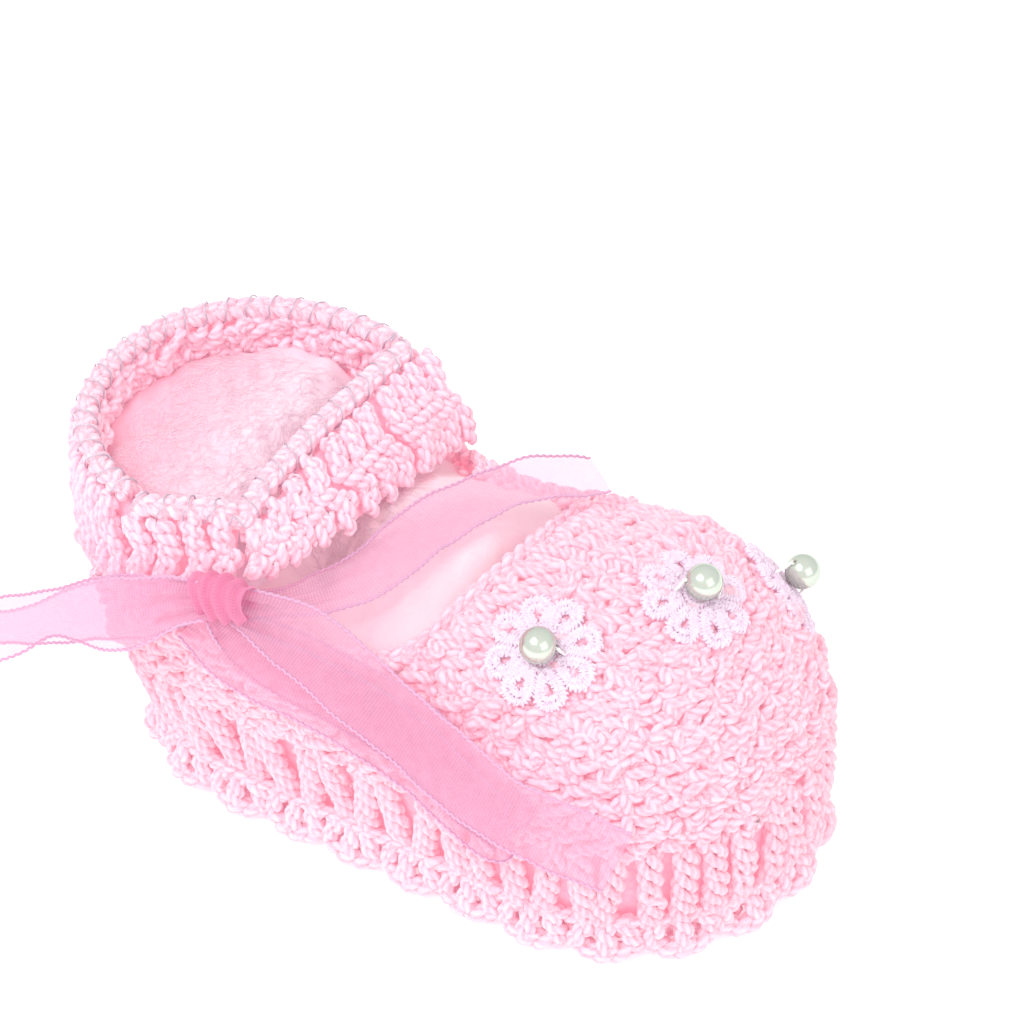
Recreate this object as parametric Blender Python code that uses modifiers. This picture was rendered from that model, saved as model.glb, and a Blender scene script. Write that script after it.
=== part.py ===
# Crocheted Mary-Jane baby bootie (wearer's right shoe), one reusable part.
# Metres in the file, millimetres in the constants, +Z up, toe towards +X,
# outer side of the foot towards -Y, the sole resting on Z = 0.
import math

import bmesh
import bpy
from mathutils import Matrix, Vector

MM = 0.001

# ---- foot shape -----------------------------------------------------------
TOE_X = 21.4            # centre of the round toe
TOE_R = 28.6            # widest radius of the toe wall
BULGE_Z = 13.0          # height of the widest line of the wall
RIDGE_Z = 45.0          # top of the instep
ROUND = 0.85            # how square the upper is over the instep
# height, heel centre x, heel radius
HEEL = ((2.0, -27.0, 20.6), (13.0, -28.6, 22.5), (27.0, -32.0, 24.2), (40.0, -33.8, 24.9))
SOLE_THICK = 2.4
SOLE_HEEL = (-26.9, 21.4)
SOLE_TOE = (21.4, 26.9)
SCALLOPS = 26
SCALLOP_DEPTH = 2.6
SCALLOP_LOW = 0.9
SCALLOP_HIGH = 3.1
WALL_LOW = 2.75
WALL_TOP = 27.0
KNIT = 2.4              # thickness of the crocheted fabric
GAP = 0.35
SEAM = 0.85              # where one leaning wall stands on another

# ---- openings and collar --------------------------------------------------
VAMP = (9.7, 0.306, -0.0115)   # x of the toe cap's back edge as a + b*y + c*y*y
QUARTER_TOP = 38.7
QUARTER_DIP = 33.6
DIP_NEAR = (-22.0, -12.0)
DIP_FAR = (-9.0, 0.0)
COLLAR_C = (-33.8, 0.0)
COLLAR_R = 24.5
COLLAR_LOW = 39.7
COLLAR_HIGH = 53.0
RIM_R = 1.55
BACK_FROM = math.radians(252.0)
COLLAR_END = (Vector((-13.6, 22.6, 39.7)), Vector((-21.4, 22.0, 53.0)))   # foot and rim of the collar's inner end
TAB_FROM = math.radians(256.2)
TAB_TO = math.radians(286.0)
TAB_LEAN = 4.6          # how far the tab's rim leans over the ankle

# ---- trims ----------------------------------------------------------------
RIBBON_W = 10.0
RIBBON_T = 0.6
KNOT = Vector((-24.6, -27.6, 46.6))
KNOT_R = (4.2, 2.8, 3.8)
FLOWER_R = 7.6
FLOWER_T = 0.8
PETALS = 8
PEARL_R = 2.5
PEARL_BORE = 0.45
THREAD_R = 0.40
PEARL_UP = 2.8
# spine parameter along the foot, angle over the cap, spin about the normal
FLOWER_AT = ((16.0, -15.0, 10.0), (31.0, -0.5, 25.0), (38.0, 15.5, 40.0))

PINK = (0.93, 0.46, 0.52, 1.0)
PINK_SOFT = (0.95, 0.55, 0.60, 1.0)
PINK_EDGE = (0.95, 0.62, 0.67, 1.0)
WADDING = (0.92, 0.86, 0.87, 1.0)
LACE = (0.88, 0.85, 0.93, 1.0)
PEARL = (0.88, 0.87, 0.78, 1.0)
THREAD = (0.93, 0.91, 0.90, 1.0)
ORGANZA = (0.93, 0.45, 0.62, 1.0)

for old in list(bpy.data.objects):
    bpy.data.objects.remove(old, do_unlink=True)

PARTS = bpy.data.collections.new("baby_bootie")
bpy.context.scene.collection.children.link(PARTS)


def material(name, colour, rough, coat=0.0):
    mat = bpy.data.materials.new(name)
    mat.use_nodes = True
    bsdf = mat.node_tree.nodes["Principled BSDF"]
    bsdf.inputs["Base Color"].default_value = colour
    bsdf.inputs["Roughness"].default_value = rough
    bsdf.inputs["Metallic"].default_value = 0.0
    bsdf.inputs["Coat Weight"].default_value = coat
    mat.diffuse_color = colour
    return mat


YARN = material("pink_yarn", PINK, 0.85)
YARN_SOFT = material("pink_yarn_collar", PINK_SOFT, 0.85)
YARN_EDGE = material("pink_yarn_edging", PINK_EDGE, 0.85)
FIBRE = material("white_wadding", WADDING, 0.95)
LACE_MAT = material("iridescent_lace", LACE, 0.45)
PEARL_MAT = material("pearl", PEARL, 0.18, 0.6)
THREAD_MAT = material("white_thread", THREAD, 0.6)
RIBBON_MAT = material("pink_organza", ORGANZA, 0.4)


def node(name, bm, mat, smooth=True):
    mesh = bpy.data.meshes.new(name)
    for face in bm.faces:
        face.smooth = smooth
    bm.to_mesh(mesh)
    bm.free()
    mesh.materials.append(mat)
    obj = bpy.data.objects.new(name, mesh)
    PARTS.objects.link(obj)
    return obj


def lerp(a, b, t):
    return a + (b - a) * t


def ease(t):
    t = min(1.0, max(0.0, t))
    return t * t * (3.0 - 2.0 * t)


def heel_at(z):
    """Heel centre and radius of the outer surface at a height."""
    for low, high in zip(HEEL, HEEL[1:]):
        if z <= high[0]:
            t = (z - low[0]) / (high[0] - low[0])
            return lerp(low[1], high[1], t), lerp(low[2], high[2], t)
    return HEEL[-1][1], HEEL[-1][2]


def toe_radius(z):
    """Radius of the toe's outer surface at a height."""
    if z < BULGE_Z:
        t = (BULGE_Z - z) / BULGE_Z
        return TOE_R * (1.0 - 0.085 * t * t)
    t = min(1.0, (z - BULGE_Z) / (RIDGE_Z - BULGE_Z))
    return TOE_R * math.sqrt(max(0.0, 1.0 - (t ** (1.0 / ROUND)) ** 2))


def spine_x(t, z):
    return lerp(heel_at(z)[0], TOE_X, t)


def shell(t, phi, z, inset=0.0):
    """Outer surface: t runs along the foot (0 heel centre, 1 toe centre),
    phi is the direction around the foot and z the height."""
    heel_x, heel_r = heel_at(z)
    rear = lerp(heel_r, 27.2, t)
    front = lerp(heel_at(min(z, BULGE_Z))[1], toe_radius(z), ease(t * 1.3)) if z < BULGE_Z else toe_radius(z) * lerp(0.9, 1.0, t)
    blend = ease((t - 0.12) / 0.5) if z > BULGE_Z else ease(t)
    low = lerp(heel_r, toe_radius(z), t)
    up = ease((z - BULGE_Z) / 16.0)
    radius = lerp(low, lerp(rear if z > BULGE_Z else low, front, blend), up)
    radius = max(0.0, radius - inset)
    x = lerp(heel_x, TOE_X, t)
    return Vector((x + radius * math.cos(phi), radius * math.sin(phi), z))


def side_phi(side):
    """Direction of the straight sides' normal; side -1 is the outer side."""
    lean = math.asin((TOE_R - 22.5) / (TOE_X + 28.6))
    return side * (math.pi / 2 + lean)


def around(count_heel, count_side, count_toe):
    """Stations round the whole foot from the heel, outer side first."""
    near, far = side_phi(-1), side_phi(1)
    stations = []
    for i in range(count_heel):
        stations.append((0.0, lerp(-math.pi, near, i / count_heel)))
    for i in range(count_side):
        stations.append((i / count_side, near))
    for i in range(count_toe):
        stations.append((1.0, lerp(near, far, i / count_toe)))
    for i in range(count_side):
        stations.append((1.0 - i / count_side, far))
    for i in range(count_heel):
        stations.append((0.0, lerp(far, math.pi, i / count_heel)))
    return stations


def patch(name, rows, mat, thick=KNIT, closed=False, offset=-1.0, flip=False, subsurf=0):
    """A sheet of fabric from rows of points, given its thickness by Solidify."""
    bm = bmesh.new()
    grid = [[bm.verts.new(p * MM) for p in row] for row in rows]
    for low, high in zip(grid, grid[1:]):
        n = len(low)
        for i in range(n if closed else n - 1):
            j = (i + 1) % n
            quad = (low[i], low[j], high[j], high[i])
            bm.faces.new(tuple(reversed(quad)) if flip else quad)
    bmesh.ops.remove_doubles(bm, verts=bm.verts, dist=0.00002)
    obj = node(name, bm, mat)
    if subsurf:
        sub = obj.modifiers.new("Subdivision", "SUBSURF")
        sub.levels = sub.render_levels = subsurf
        sub.boundary_smooth = "PRESERVE_CORNERS"
    solid = obj.modifiers.new("Solidify", "SOLIDIFY")
    solid.thickness = thick * MM
    solid.offset = offset
    solid.use_even_offset = True
    solid.use_rim = True
    return obj


def cord(name, points, radius, mat, sides=2, cyclic=False):
    """A round cord along a smooth path, as a bevelled curve with filled caps."""
    curve = bpy.data.curves.new(name, "CURVE")
    curve.dimensions = "3D"
    curve.bevel_depth = radius * MM
    curve.bevel_resolution = sides
    curve.use_fill_caps = True
    curve.resolution_u = 1
    spline = curve.splines.new("POLY")
    spline.points.add(len(points) - 1)
    for slot, p in zip(spline.points, points):
        slot.co = (p.x * MM, p.y * MM, p.z * MM, 1.0)
    spline.use_cyclic_u = cyclic
    curve.materials.append(mat)
    obj = bpy.data.objects.new(name, curve)
    PARTS.objects.link(obj)
    return obj


def smooth_path(keys, steps):
    """Catmull-Rom path through key points."""
    out = []
    n = len(keys)
    for i in range(n - 1):
        p0 = keys[max(i - 1, 0)]
        p1, p2 = keys[i], keys[i + 1]
        p3 = keys[min(i + 2, n - 1)]
        for k in range(steps):
            t = k / steps
            out.append(0.5 * ((2 * p1) + (p2 - p0) * t + (2 * p0 - 5 * p1 + 4 * p2 - p3) * t * t
                              + (3 * p1 - p0 - 3 * p2 + p3) * t * t * t))
    out.append(keys[-1].copy())
    return out


def strip(name, keys, widths, steps, width=RIBBON_W, thick=RIBBON_T, gather=1.0):
    """A flat ribbon through key points; widths give the direction across it.

    gather is the share of the width left where the ribbon leaves the knot.
    """
    path = smooth_path(keys, steps)
    across = smooth_path(widths, steps)
    bm = bmesh.new()
    rings = []
    for i, p in enumerate(path):
        ahead = path[min(i + 1, len(path) - 1)] - path[max(i - 1, 0)]
        w = across[i]
        w = (w - ahead.normalized() * w.dot(ahead.normalized())).normalized()
        out = ahead.normalized().cross(w).normalized()
        wide = width * lerp(gather, 1.0, ease(min(1.0, i / (len(path) - 1) / 0.35)))
        rings.append([bm.verts.new((p + w * sw * wide / 2 + out * st * thick / 2) * MM)
                      for sw, st in ((-1, -1), (1, -1), (1, 1), (-1, 1))])
    for a, b in zip(rings, rings[1:]):
        for i in range(4):
            j = (i + 1) % 4
            bm.faces.new((a[i], a[j], b[j], b[i]))
    bm.faces.new(rings[0][::-1])
    bm.faces.new(rings[-1])
    bmesh.ops.recalc_face_normals(bm, faces=bm.faces)
    return node(name, bm, RIBBON_MAT, smooth=False)


# ---- sole -----------------------------------------------------------------
def sole_outline(extra, count_heel=14, count_side=14, count_toe=18):
    (hx, hr), (tx, tr) = SOLE_HEEL, SOLE_TOE
    points = []
    for t, phi in around(count_heel, count_side, count_toe):
        r = lerp(hr, tr, t) + extra
        points.append(Vector((lerp(hx, tx, t) + r * math.cos(phi), r * math.sin(phi), 0.0)))
    return points


def plate(name, outline, low, high, mat, bevel):
    bm = bmesh.new()
    face = bm.faces.new([bm.verts.new(Vector((p.x, p.y, low)) * MM) for p in outline])
    ext = bmesh.ops.extrude_face_region(bm, geom=[face])
    for v in ext["geom"]:
        if isinstance(v, bmesh.types.BMVert):
            v.co.z = high * MM
    bmesh.ops.recalc_face_normals(bm, faces=bm.faces)
    obj = node(name, bm, mat, smooth=False)
    edge = obj.modifiers.new("Bevel", "BEVEL")
    edge.width = bevel * MM
    edge.segments = 2
    edge.limit_method = "ANGLE"
    edge.angle_limit = math.radians(50)
    return obj


plate("sole", sole_outline(-1.2), 0.0, SOLE_THICK, YARN, 0.6)


# ---- scalloped edging round the sole --------------------------------------
def scallop_ring():
    base = sole_outline(0.0, 40, 40, 52)
    total = sum((base[i] - base[i - 1]).length for i in range(len(base)))
    count = SCALLOPS * 12
    stations, run, k = [], 0.0, 0
    for i in range(len(base)):
        a, b = base[i], base[(i + 1) % len(base)]
        seg = (b - a).length
        while k < count and run + seg >= total * k / count - 1e-9:
            t = (total * k / count - run) / seg
            stations.append(a.lerp(b, min(1.0, max(0.0, t))))
            k += 1
        run += seg
    bm = bmesh.new()
    rings = []
    n = len(stations)
    for i, p in enumerate(stations):
        tangent = (stations[(i + 1) % n] - stations[i - 1]).normalized()
        out = Vector((tangent.y, -tangent.x, 0.0))
        lobe = abs(math.sin(math.pi * SCALLOPS * i / n)) ** 0.6
        reach = 0.7 + SCALLOP_DEPTH * lobe
        drop = SCALLOP_LOW
        rings.append([bm.verts.new(q * MM) for q in (
            p - out * 0.75 + Vector((0, 0, drop + 0.2)),
            p + out * (reach - 0.5) + Vector((0, 0, drop)),
            p + out * reach + Vector((0, 0, lerp(drop, SCALLOP_HIGH, 0.5))),
            p + out * (reach - 0.7) + Vector((0, 0, SCALLOP_HIGH - 0.3)),
            p - out * 0.75 + Vector((0, 0, SOLE_THICK)))])
    for i in range(n):
        a, b = rings[i], rings[(i + 1) % n]
        for j in range(5):
            m = (j + 1) % 5
            bm.faces.new((a[j], a[m], b[m], b[j]))
    bmesh.ops.recalc_face_normals(bm, faces=bm.faces)
    return node("scallop_edging", bm, YARN_EDGE)


scallop_ring()

# ---- side wall ------------------------------------------------------------
stations = around(10, 8, 14)
levels = (SCALLOP_HIGH + GAP, 6.5, 10.0, 13.0, 17.0, 22.0, WALL_TOP)
patch("side_wall", [[shell(t, phi, z) for t, phi in stations] for z in levels], YARN, closed=True)


# ---- toe cap --------------------------------------------------------------
def vamp_x(y):
    a, b, c = VAMP
    return a + b * y + c * y * y


def edge_t(z, side, ahead=0.0):
    """Spine parameter where the surface meets the toe cap's back edge."""
    low, high = 0.0, 1.0
    phi = side_phi(side)
    for _ in range(24):
        mid = (low + high) / 2
        p = shell(mid, phi, z)
        if p.x < vamp_x(p.y) + ahead:
            low = mid
        else:
            high = mid
    return (low + high) / 2


def cap_rows(inset=0.0, count_side=7, count_toe=14):
    low_z = WALL_TOP + SEAM
    rows = []
    steps = 9
    for k in range(steps + 1):
        # even steps over the curve of the upper
        angle = math.pi / 2 * k / steps
        base = math.asin(min(1.0, ((low_z - BULGE_Z) / (RIDGE_Z - BULGE_Z)) ** (1 / ROUND)))
        p = lerp(base, math.pi / 2, k / steps)
        z = BULGE_Z + (RIDGE_Z - BULGE_Z) * math.sin(p) ** ROUND
        row = []
        t_near, t_far = edge_t(z, -1), edge_t(z, 1)
        near, far = side_phi(-1), side_phi(1)
        if k == steps:
            t_near = t_far = (vamp_x(0.0) - heel_at(z)[0]) / (TOE_X - heel_at(z)[0])
        for i in range(count_side):
            row.append(shell(lerp(t_near, 1.0, i / count_side), near, z, inset))
        for i in range(count_toe):
            row.append(shell(1.0, lerp(near, far, i / count_toe), z, inset))
        for i in range(count_side + 1):
            row.append(shell(lerp(1.0, t_far, i / count_side), far, z, inset))
        rows.append(row)
    return rows


patch("toe_cap", cap_rows(), YARN)


# ---- quarter: the upper wall round the heel and sides ---------------------
def quarter_top(x, side):
    start, end = DIP_NEAR if side < 0 else DIP_FAR
    return lerp(QUARTER_TOP, QUARTER_DIP, ease((x - start) / (end - start)))


def quarter_rows(count_side=12, count_heel=10, levels=4):
    near, far = side_phi(-1), side_phi(1)
    rows = []
    for k in range(levels + 1):
        row = []
        for side, phi in ((-1, near), (1, far)):
            part = []
            for i in range(count_side):
                s = i / count_side
                z = WALL_TOP + SEAM
                for _ in range(3):
                    t_end = edge_t(z, side, -(KNIT + 0.9))
                    t = lerp(t_end, 0.0, s)
                    top = quarter_top(spine_x(t, z), side)
                    z = lerp(WALL_TOP + SEAM, top, k / levels)
                part.append(shell(t, phi, z))
            if side < 0:
                row += part
                for i in range(2 * count_heel + 1):
                    ang = lerp(near, far - 2 * math.pi, i / (2 * count_heel))
                    row.append(shell(0.0, ang, lerp(WALL_TOP + SEAM, QUARTER_TOP, k / levels)))
            else:
                row += part[::-1]
        rows.append(row)
    return rows


patch("heel_quarter", quarter_rows(), YARN, flip=True)


# ---- edging round the instep opening --------------------------------------
def opening_path():
    near, far = side_phi(-1), side_phi(1)
    path = []
    up = RIM_R + GAP

    def side_run(side, phi, order):
        pts = []
        for i in range(10):
            s = i / 9
            z = QUARTER_DIP
            for _ in range(3):
                t_end = edge_t(z, side, -2.2)
                t_root = (DIP_NEAR[0] + 1.0 if side < 0 else DIP_FAR[0] + 1.0)
                t_root = (t_root - spine_x(0, z)) / (spine_x(1, z) - spine_x(0, z))
                t = lerp(t_root, t_end, s)
                z = quarter_top(spine_x(t, z), side)
            p = shell(t, phi, z, KNIT / 2)
            p.z = z + up + 0.35
            pts.append(p)
        return pts if order > 0 else pts[::-1]

    path += side_run(-1, near, 1)
    for k in range(13):
        y = lerp(-16.5, 16.5, k / 12)
        # height of the cap's middle layer under this line
        r = toe_radius(BULGE_Z) - 0.0
        c = min(1.0, abs(y) / (0.93 * r - KNIT / 2))
        z = BULGE_Z + (RIDGE_Z - KNIT / 2 - BULGE_Z) * math.sqrt(1 - c * c) ** ROUND
        slope = VAMP[1] + 2 * VAMP[2] * y
        back = Vector((-1.0, slope, 0.0)).normalized() * (RIM_R + GAP + 0.45)
        path.append(Vector((vamp_x(y), y, z)) + back)
    path += side_run(1, far, -1)
    # even spacing
    dense = smooth_path(path, 3)
    return dense[::2] + [dense[-1]]


cord("opening_edging", opening_path(), RIM_R, YARN_EDGE)


# ---- collar ---------------------------------------------------------------
def ring_point(angle, z, lean=0.0, radius=COLLAR_R):
    return Vector((COLLAR_C[0] + radius * math.cos(angle),
                   COLLAR_C[1] + radius * math.sin(angle) + lean, z))


def collar_back_row(k, count_arc=20, count_side=6, inset=0.0):
    """Outer face of the collar at a height: round the heel, then along the inner side."""
    z = lerp(COLLAR_LOW, COLLAR_HIGH - 0.3, k)
    radius = COLLAR_R - 0.5 * k * k - inset
    row = [ring_point(lerp(BACK_FROM, math.pi / 2, i / count_arc), z, radius=radius) for i in range(count_arc + 1)]
    start = row[-1]
    end = COLLAR_END[0].lerp(COLLAR_END[1], k)
    for i in range(1, count_side + 1):
        s = i / count_side
        row.append(Vector((lerp(start.x, end.x, s), lerp(start.y, end.y - inset, s * s), z)))
    return row


patch("collar_back", [collar_back_row(k / 3) for k in range(4)], YARN_SOFT, flip=True)
back_rim = [p + Vector((0, 0, RIM_R + GAP)) for p in collar_back_row(1.0, 28, 6, KNIT / 2)]
back_rim[-1].x -= 1.0
cord("collar_back_rim", back_rim, RIM_R, YARN_EDGE)


def tab_point(s, k):
    """s runs from the tab's root to its free end, k from its foot to its rim."""
    end = lerp(TAB_TO, TAB_TO - 0.035, k)
    angle = lerp(TAB_FROM, end, s)
    z = lerp(COLLAR_LOW, COLLAR_HIGH - 0.9 - 0.9 * s * s * k, k)
    return ring_point(angle, z, lean=TAB_LEAN * k ** 1.4 * ease(0.08 + 0.92 * s))


patch("collar_tab", [[tab_point(i / 8, k / 3) for i in range(9)] for k in range(4)], YARN_SOFT)
tab_rim = [tab_point(i / 10, 1.0) + Vector((0, KNIT / 2 * 0.9, RIM_R + GAP)) for i in range(11)]
cord("collar_tab_rim", tab_rim, RIM_R, YARN_EDGE)

# strap: front of the collar, from its root on the inner side to the split
STRAP_FOOT = (Vector((-11.2, 20.6, 40.6)), Vector((-13.2, 12.0, 42.2)), Vector((-15.2, 1.0, 43.8)),
              Vector((-18.6, -11.4, 44.9)), Vector((-24.0, -20.2, 44.8)))
STRAP_RIM = (Vector((-18.9, 20.8, 52.9)), Vector((-20.6, 11.5, 53.2)), Vector((-22.6, 0.5, 53.0)),
             Vector((-24.6, -10.5, 51.6)), Vector((-24.8, -17.6, 49.4)))


def strap_rows(levels=3, steps=4):
    foot = smooth_path(list(STRAP_FOOT), steps)
    rim = smooth_path(list(STRAP_RIM), steps)
    rows = []
    for k in range(levels + 1):
        row = []
        for a, b in zip(foot, rim):
            p = a.lerp(b, k / levels)
            bow = math.sin(math.pi * k / levels) * 0.9
            row.append(p + Vector((bow, 0.0, bow * 0.6)))
        rows.append(row)
    return rows


strap = patch("collar_strap", strap_rows(), YARN_SOFT, offset=0.0, flip=True)
strap_dir = (STRAP_RIM[2] - STRAP_FOOT[2]).normalized()
strap_rim = [p + strap_dir * (RIM_R + GAP + 0.1) for p in smooth_path(list(STRAP_RIM), 5)]
cord("collar_strap_rim", strap_rim, RIM_R, YARN_EDGE)


# ---- wadding: a soft layer shaped like the front of a sock ----------------
WAD_BACK = -20.5
WAD_TIP = 45.0
WAD_LOW = 3.4
WAD_TOP = 40.2
WAD_THICK = 2.6


def wadding_rows(count_x=16, count_a=24):
    rows = []
    for i in range(count_x + 1):
        x = lerp(WAD_BACK, WAD_TIP, math.sin(math.pi / 2 * i / count_x))
        t = (min(x, TOE_X) + 32.0) / (TOE_X + 32.0)
        wide = lerp(19.8, 23.8, t)
        round_in = math.sqrt(max(0.0, 1.0 - (max(0.0, x - TOE_X) / (WAD_TIP - TOE_X)) ** 2))
        wide *= round_in
        mid = lerp(WAD_LOW, WAD_TOP, 0.47)
        low = mid + (WAD_LOW - mid) * round_in ** 0.7
        high = mid + (WAD_TOP - 1.5 * ease((x - 8.0) / 14.0) - mid) * round_in
        row = []
        for j in range(count_a):
            a = 2 * math.pi * j / count_a
            up = math.sin(a)
            z = lerp(mid, high if up > 0 else low, abs(up))
            y = wide * math.cos(a)
            heel_x = heel_at(z)[0]
            room = shell(min(1.0, (x - heel_x) / (TOE_X - heel_x)), math.pi / 2, z).y - KNIT - 1.0
            if x > TOE_X:
                room = math.sqrt(max(0.0, (room * room - (x - TOE_X) ** 2)))
            row.append(Vector((x, math.copysign(min(abs(y), room), y), z)))
        rows.append(row)
    return rows


patch("wadding", wadding_rows(), FIBRE, thick=WAD_THICK, closed=True)


# ---- lace flowers, pearls and their threads -------------------------------
def cap_height(x, y):
    """Height of the upper's outer surface over a plan point."""
    low, high = BULGE_Z, RIDGE_Z
    for _ in range(30):
        mid = (low + high) / 2
        if x > TOE_X:
            inside = math.hypot(x - TOE_X, y) < toe_radius(mid)
        else:
            t = (x - heel_at(mid)[0]) / (TOE_X - heel_at(mid)[0])
            inside = abs(y) < shell(t, math.pi / 2, mid).y
        if inside:
            low = mid
        else:
            high = mid
    return (low + high) / 2


def cap_frame(x, y, spin):
    h = 1.2
    zx = (cap_height(x + h, y) - cap_height(x - h, y)) / (2 * h)
    zy = (cap_height(x, y + h) - cap_height(x, y - h)) / (2 * h)
    normal = Vector((-zx, -zy, 1.0)).normalized()
    side = Vector((math.cos(math.radians(spin)), math.sin(math.radians(spin)), 0.0))
    side = (side - normal * side.dot(normal)).normalized()
    frame = Matrix((side, normal.cross(side), normal)).transposed().to_4x4()
    frame.translation = Vector((x, y, cap_height(x, y)))
    return frame


def loop_edges(bm, points):
    verts = [bm.verts.new(p) for p in points]
    return [bm.edges.new((verts[i], verts[(i + 1) % len(verts)])) for i in range(len(verts))]


def flower(name, frame, lift):
    bm = bmesh.new()
    n = PETALS * 10
    outline = []
    for i in range(n):
        a = 2 * math.pi * i / n
        r = FLOWER_R * (0.60 + 0.40 * abs(math.sin(PETALS * a / 2)) ** 0.55)
        outline.append(Vector((r * math.cos(a), r * math.sin(a), 0.0)))
    edges = loop_edges(bm, outline)
    for k in range(PETALS):
        a = 2 * math.pi * (k + 0.5) / PETALS
        hole = []
        for i in range(10):
            b = 2 * math.pi * i / 10
            radial = FLOWER_R * 0.70 + FLOWER_R * 0.17 * math.cos(b)
            across = FLOWER_R * 0.085 * math.sin(b) * (1.0 + 0.4 * math.cos(b))
            hole.append(Vector((radial * math.cos(a) - across * math.sin(a),
                                radial * math.sin(a) + across * math.cos(a), 0.0)))
        edges += loop_edges(bm, hole)
    bmesh.ops.triangle_fill(bm, use_beauty=True, edges=edges)
    ext = bmesh.ops.extrude_face_region(bm, geom=list(bm.faces))
    for v in ext["geom"]:
        if isinstance(v, bmesh.types.BMVert):
            v.co.z = FLOWER_T
    bmesh.ops.recalc_face_normals(bm, faces=bm.faces)
    for v in bm.verts:
        # lie along the curve of the toe cap
        local = v.co.copy()
        at = frame @ Vector((local.x, local.y, 0.0))
        top = cap_height(at.x, at.y)
        slope = max(0.35, (frame.to_3x3() @ Vector((0, 0, 1))).z)
        follow = (top - at.z) * slope
        v.co = (frame @ Vector((local.x, local.y, follow + lift + local.z))) * MM
    return node(name, bm, LACE_MAT, smooth=False)


def pearl(name, frame, height):
    bm = bmesh.new()
    half = math.sqrt(PEARL_R ** 2 - PEARL_BORE ** 2)
    start = math.atan2(PEARL_BORE, half)
    profile = []
    for i in range(13):
        a = lerp(start, math.pi - start, i / 12)
        profile.append(Vector((PEARL_R * math.cos(a), 0.0, PEARL_R * math.sin(a))))
    verts = [bm.verts.new(p * MM) for p in profile]
    for a, b in zip(verts, verts[1:]):
        bm.edges.new((a, b))
    bm.edges.new((verts[-1], verts[0]))
    obj = node(name, bm, PEARL_MAT)
    turn = obj.modifiers.new("Screw", "SCREW")
    turn.axis = "X"
    turn.angle = 2 * math.pi
    turn.steps = turn.render_steps = 28
    turn.use_merge_vertices = True
    turn.merge_threshold = 0.00001
    turn.use_normal_calculate = True
    place = frame.copy()
    place.translation = (frame @ Vector((0, 0, height))) * MM
    obj.matrix_world = place
    return obj


def pearl_thread(name, frame, height, foot):
    reach = PEARL_R + 0.75
    keys = [Vector((-reach - 0.2, 0, foot)), Vector((-reach - 0.1, 0, height - 0.9)), Vector((-reach + 0.35, 0, height)),
            Vector((0, 0, height)), Vector((reach - 0.35, 0, height)), Vector((reach + 0.1, 0, height - 0.9)), Vector((reach + 0.2, 0, foot))]
    return cord(name, [frame @ p for p in keys], THREAD_R, THREAD_MAT, sides=1)


LIFT = 0.75
for i, (fx, fy, spin) in enumerate(FLOWER_AT, 1):
    frame = cap_frame(fx, fy, spin)
    flower("lace_flower_%d" % i, frame, LIFT)
    top = LIFT + FLOWER_T
    pearl("pearl_%d" % i, frame, top + PEARL_UP)
    pearl_thread("pearl_thread_%d" % i, frame, top + PEARL_UP, top + THREAD_R + 0.05)

# ---- organza ribbon tied in a bow at the split ----------------------------
bm = bmesh.new()
bmesh.ops.create_uvsphere(bm, u_segments=20, v_segments=12, radius=1.0)
for v in bm.verts:
    pinch = 1.0 + 0.10 * math.cos(6 * math.atan2(v.co.z, v.co.x))
    v.co = Vector((v.co.x * KNOT_R[0] * pinch, v.co.y * KNOT_R[1], v.co.z * KNOT_R[2] * pinch)) * MM
knot = node("ribbon_knot", bm, RIBBON_MAT)
knot.location = KNOT * MM

UP = Vector((0, 0, 1))
strip("ribbon_loop_left",
      [Vector((-30.2, -29.0, 45.8)), Vector((-36, -31.2, 42.6)), Vector((-42, -32.0, 40.0)), Vector((-50, -33.4, 37.2)), Vector((-60, -36.4, 33.0)),
       Vector((-70, -38.5, 29.4)), Vector((-76, -37.5, 27.0)), Vector((-73.5, -33.6, 27.6)), Vector((-60, -29.8, 31.6)),
       Vector((-46, -28.2, 37.4)), Vector((-32.4, -27.6, 42.4))],
      [Vector((0.37, 0.42, 0.83)), Vector((0.05, 0.3, 0.9)), Vector((0, -0.1, 1)), Vector((0, -0.05, 1)), Vector((0, 0.15, 1)), Vector((0, 0.25, 1)),
       Vector((0, 0.2, 1)), Vector((0, 0.1, 1)), Vector((0, -0.1, 1)), Vector((0, -0.1, 1)), Vector((0, -0.1, 1))], 6)
strip("ribbon_loop_right",
      [Vector((-21.2, -27.9, 36.9)), Vector((-12.8, -26.9, 33.6)), Vector((-4.5, -27.2, 31.4)), Vector((3.8, -28.3, 29.0)),
       Vector((11.4, -30.2, 25.0)), Vector((16.8, -31.0, 23.0)), Vector((18.0, -30.1, 23.1)), Vector((16.6, -29.2, 23.6)),
       Vector((11.6, -28.7, 26.0)), Vector((3.8, -26.4, 30.2)), Vector((-4.5, -25.3, 32.7)), Vector((-12.8, -25.0, 34.9)),
       Vector((-20.2, -26.2, 37.4))],
      [Vector((0.3, 0.25, 0.9)), Vector((0.3, 0.42, 0.84)), Vector((0.25, 0.42, 0.85)), Vector((0.25, 0.38, 0.87)),
       Vector((0.4, 0.25, 0.87)), Vector((0.42, 0.2, 0.87)), Vector((0.42, 0.2, 0.87)), Vector((0.42, 0.2, 0.87)),
       Vector((0.4, 0.25, 0.87)), Vector((0.25, 0.38, 0.87)), Vector((0.25, 0.42, 0.85)), Vector((0.3, 0.42, 0.84)),
       Vector((0.3, 0.3, 0.9))], 6)
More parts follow.
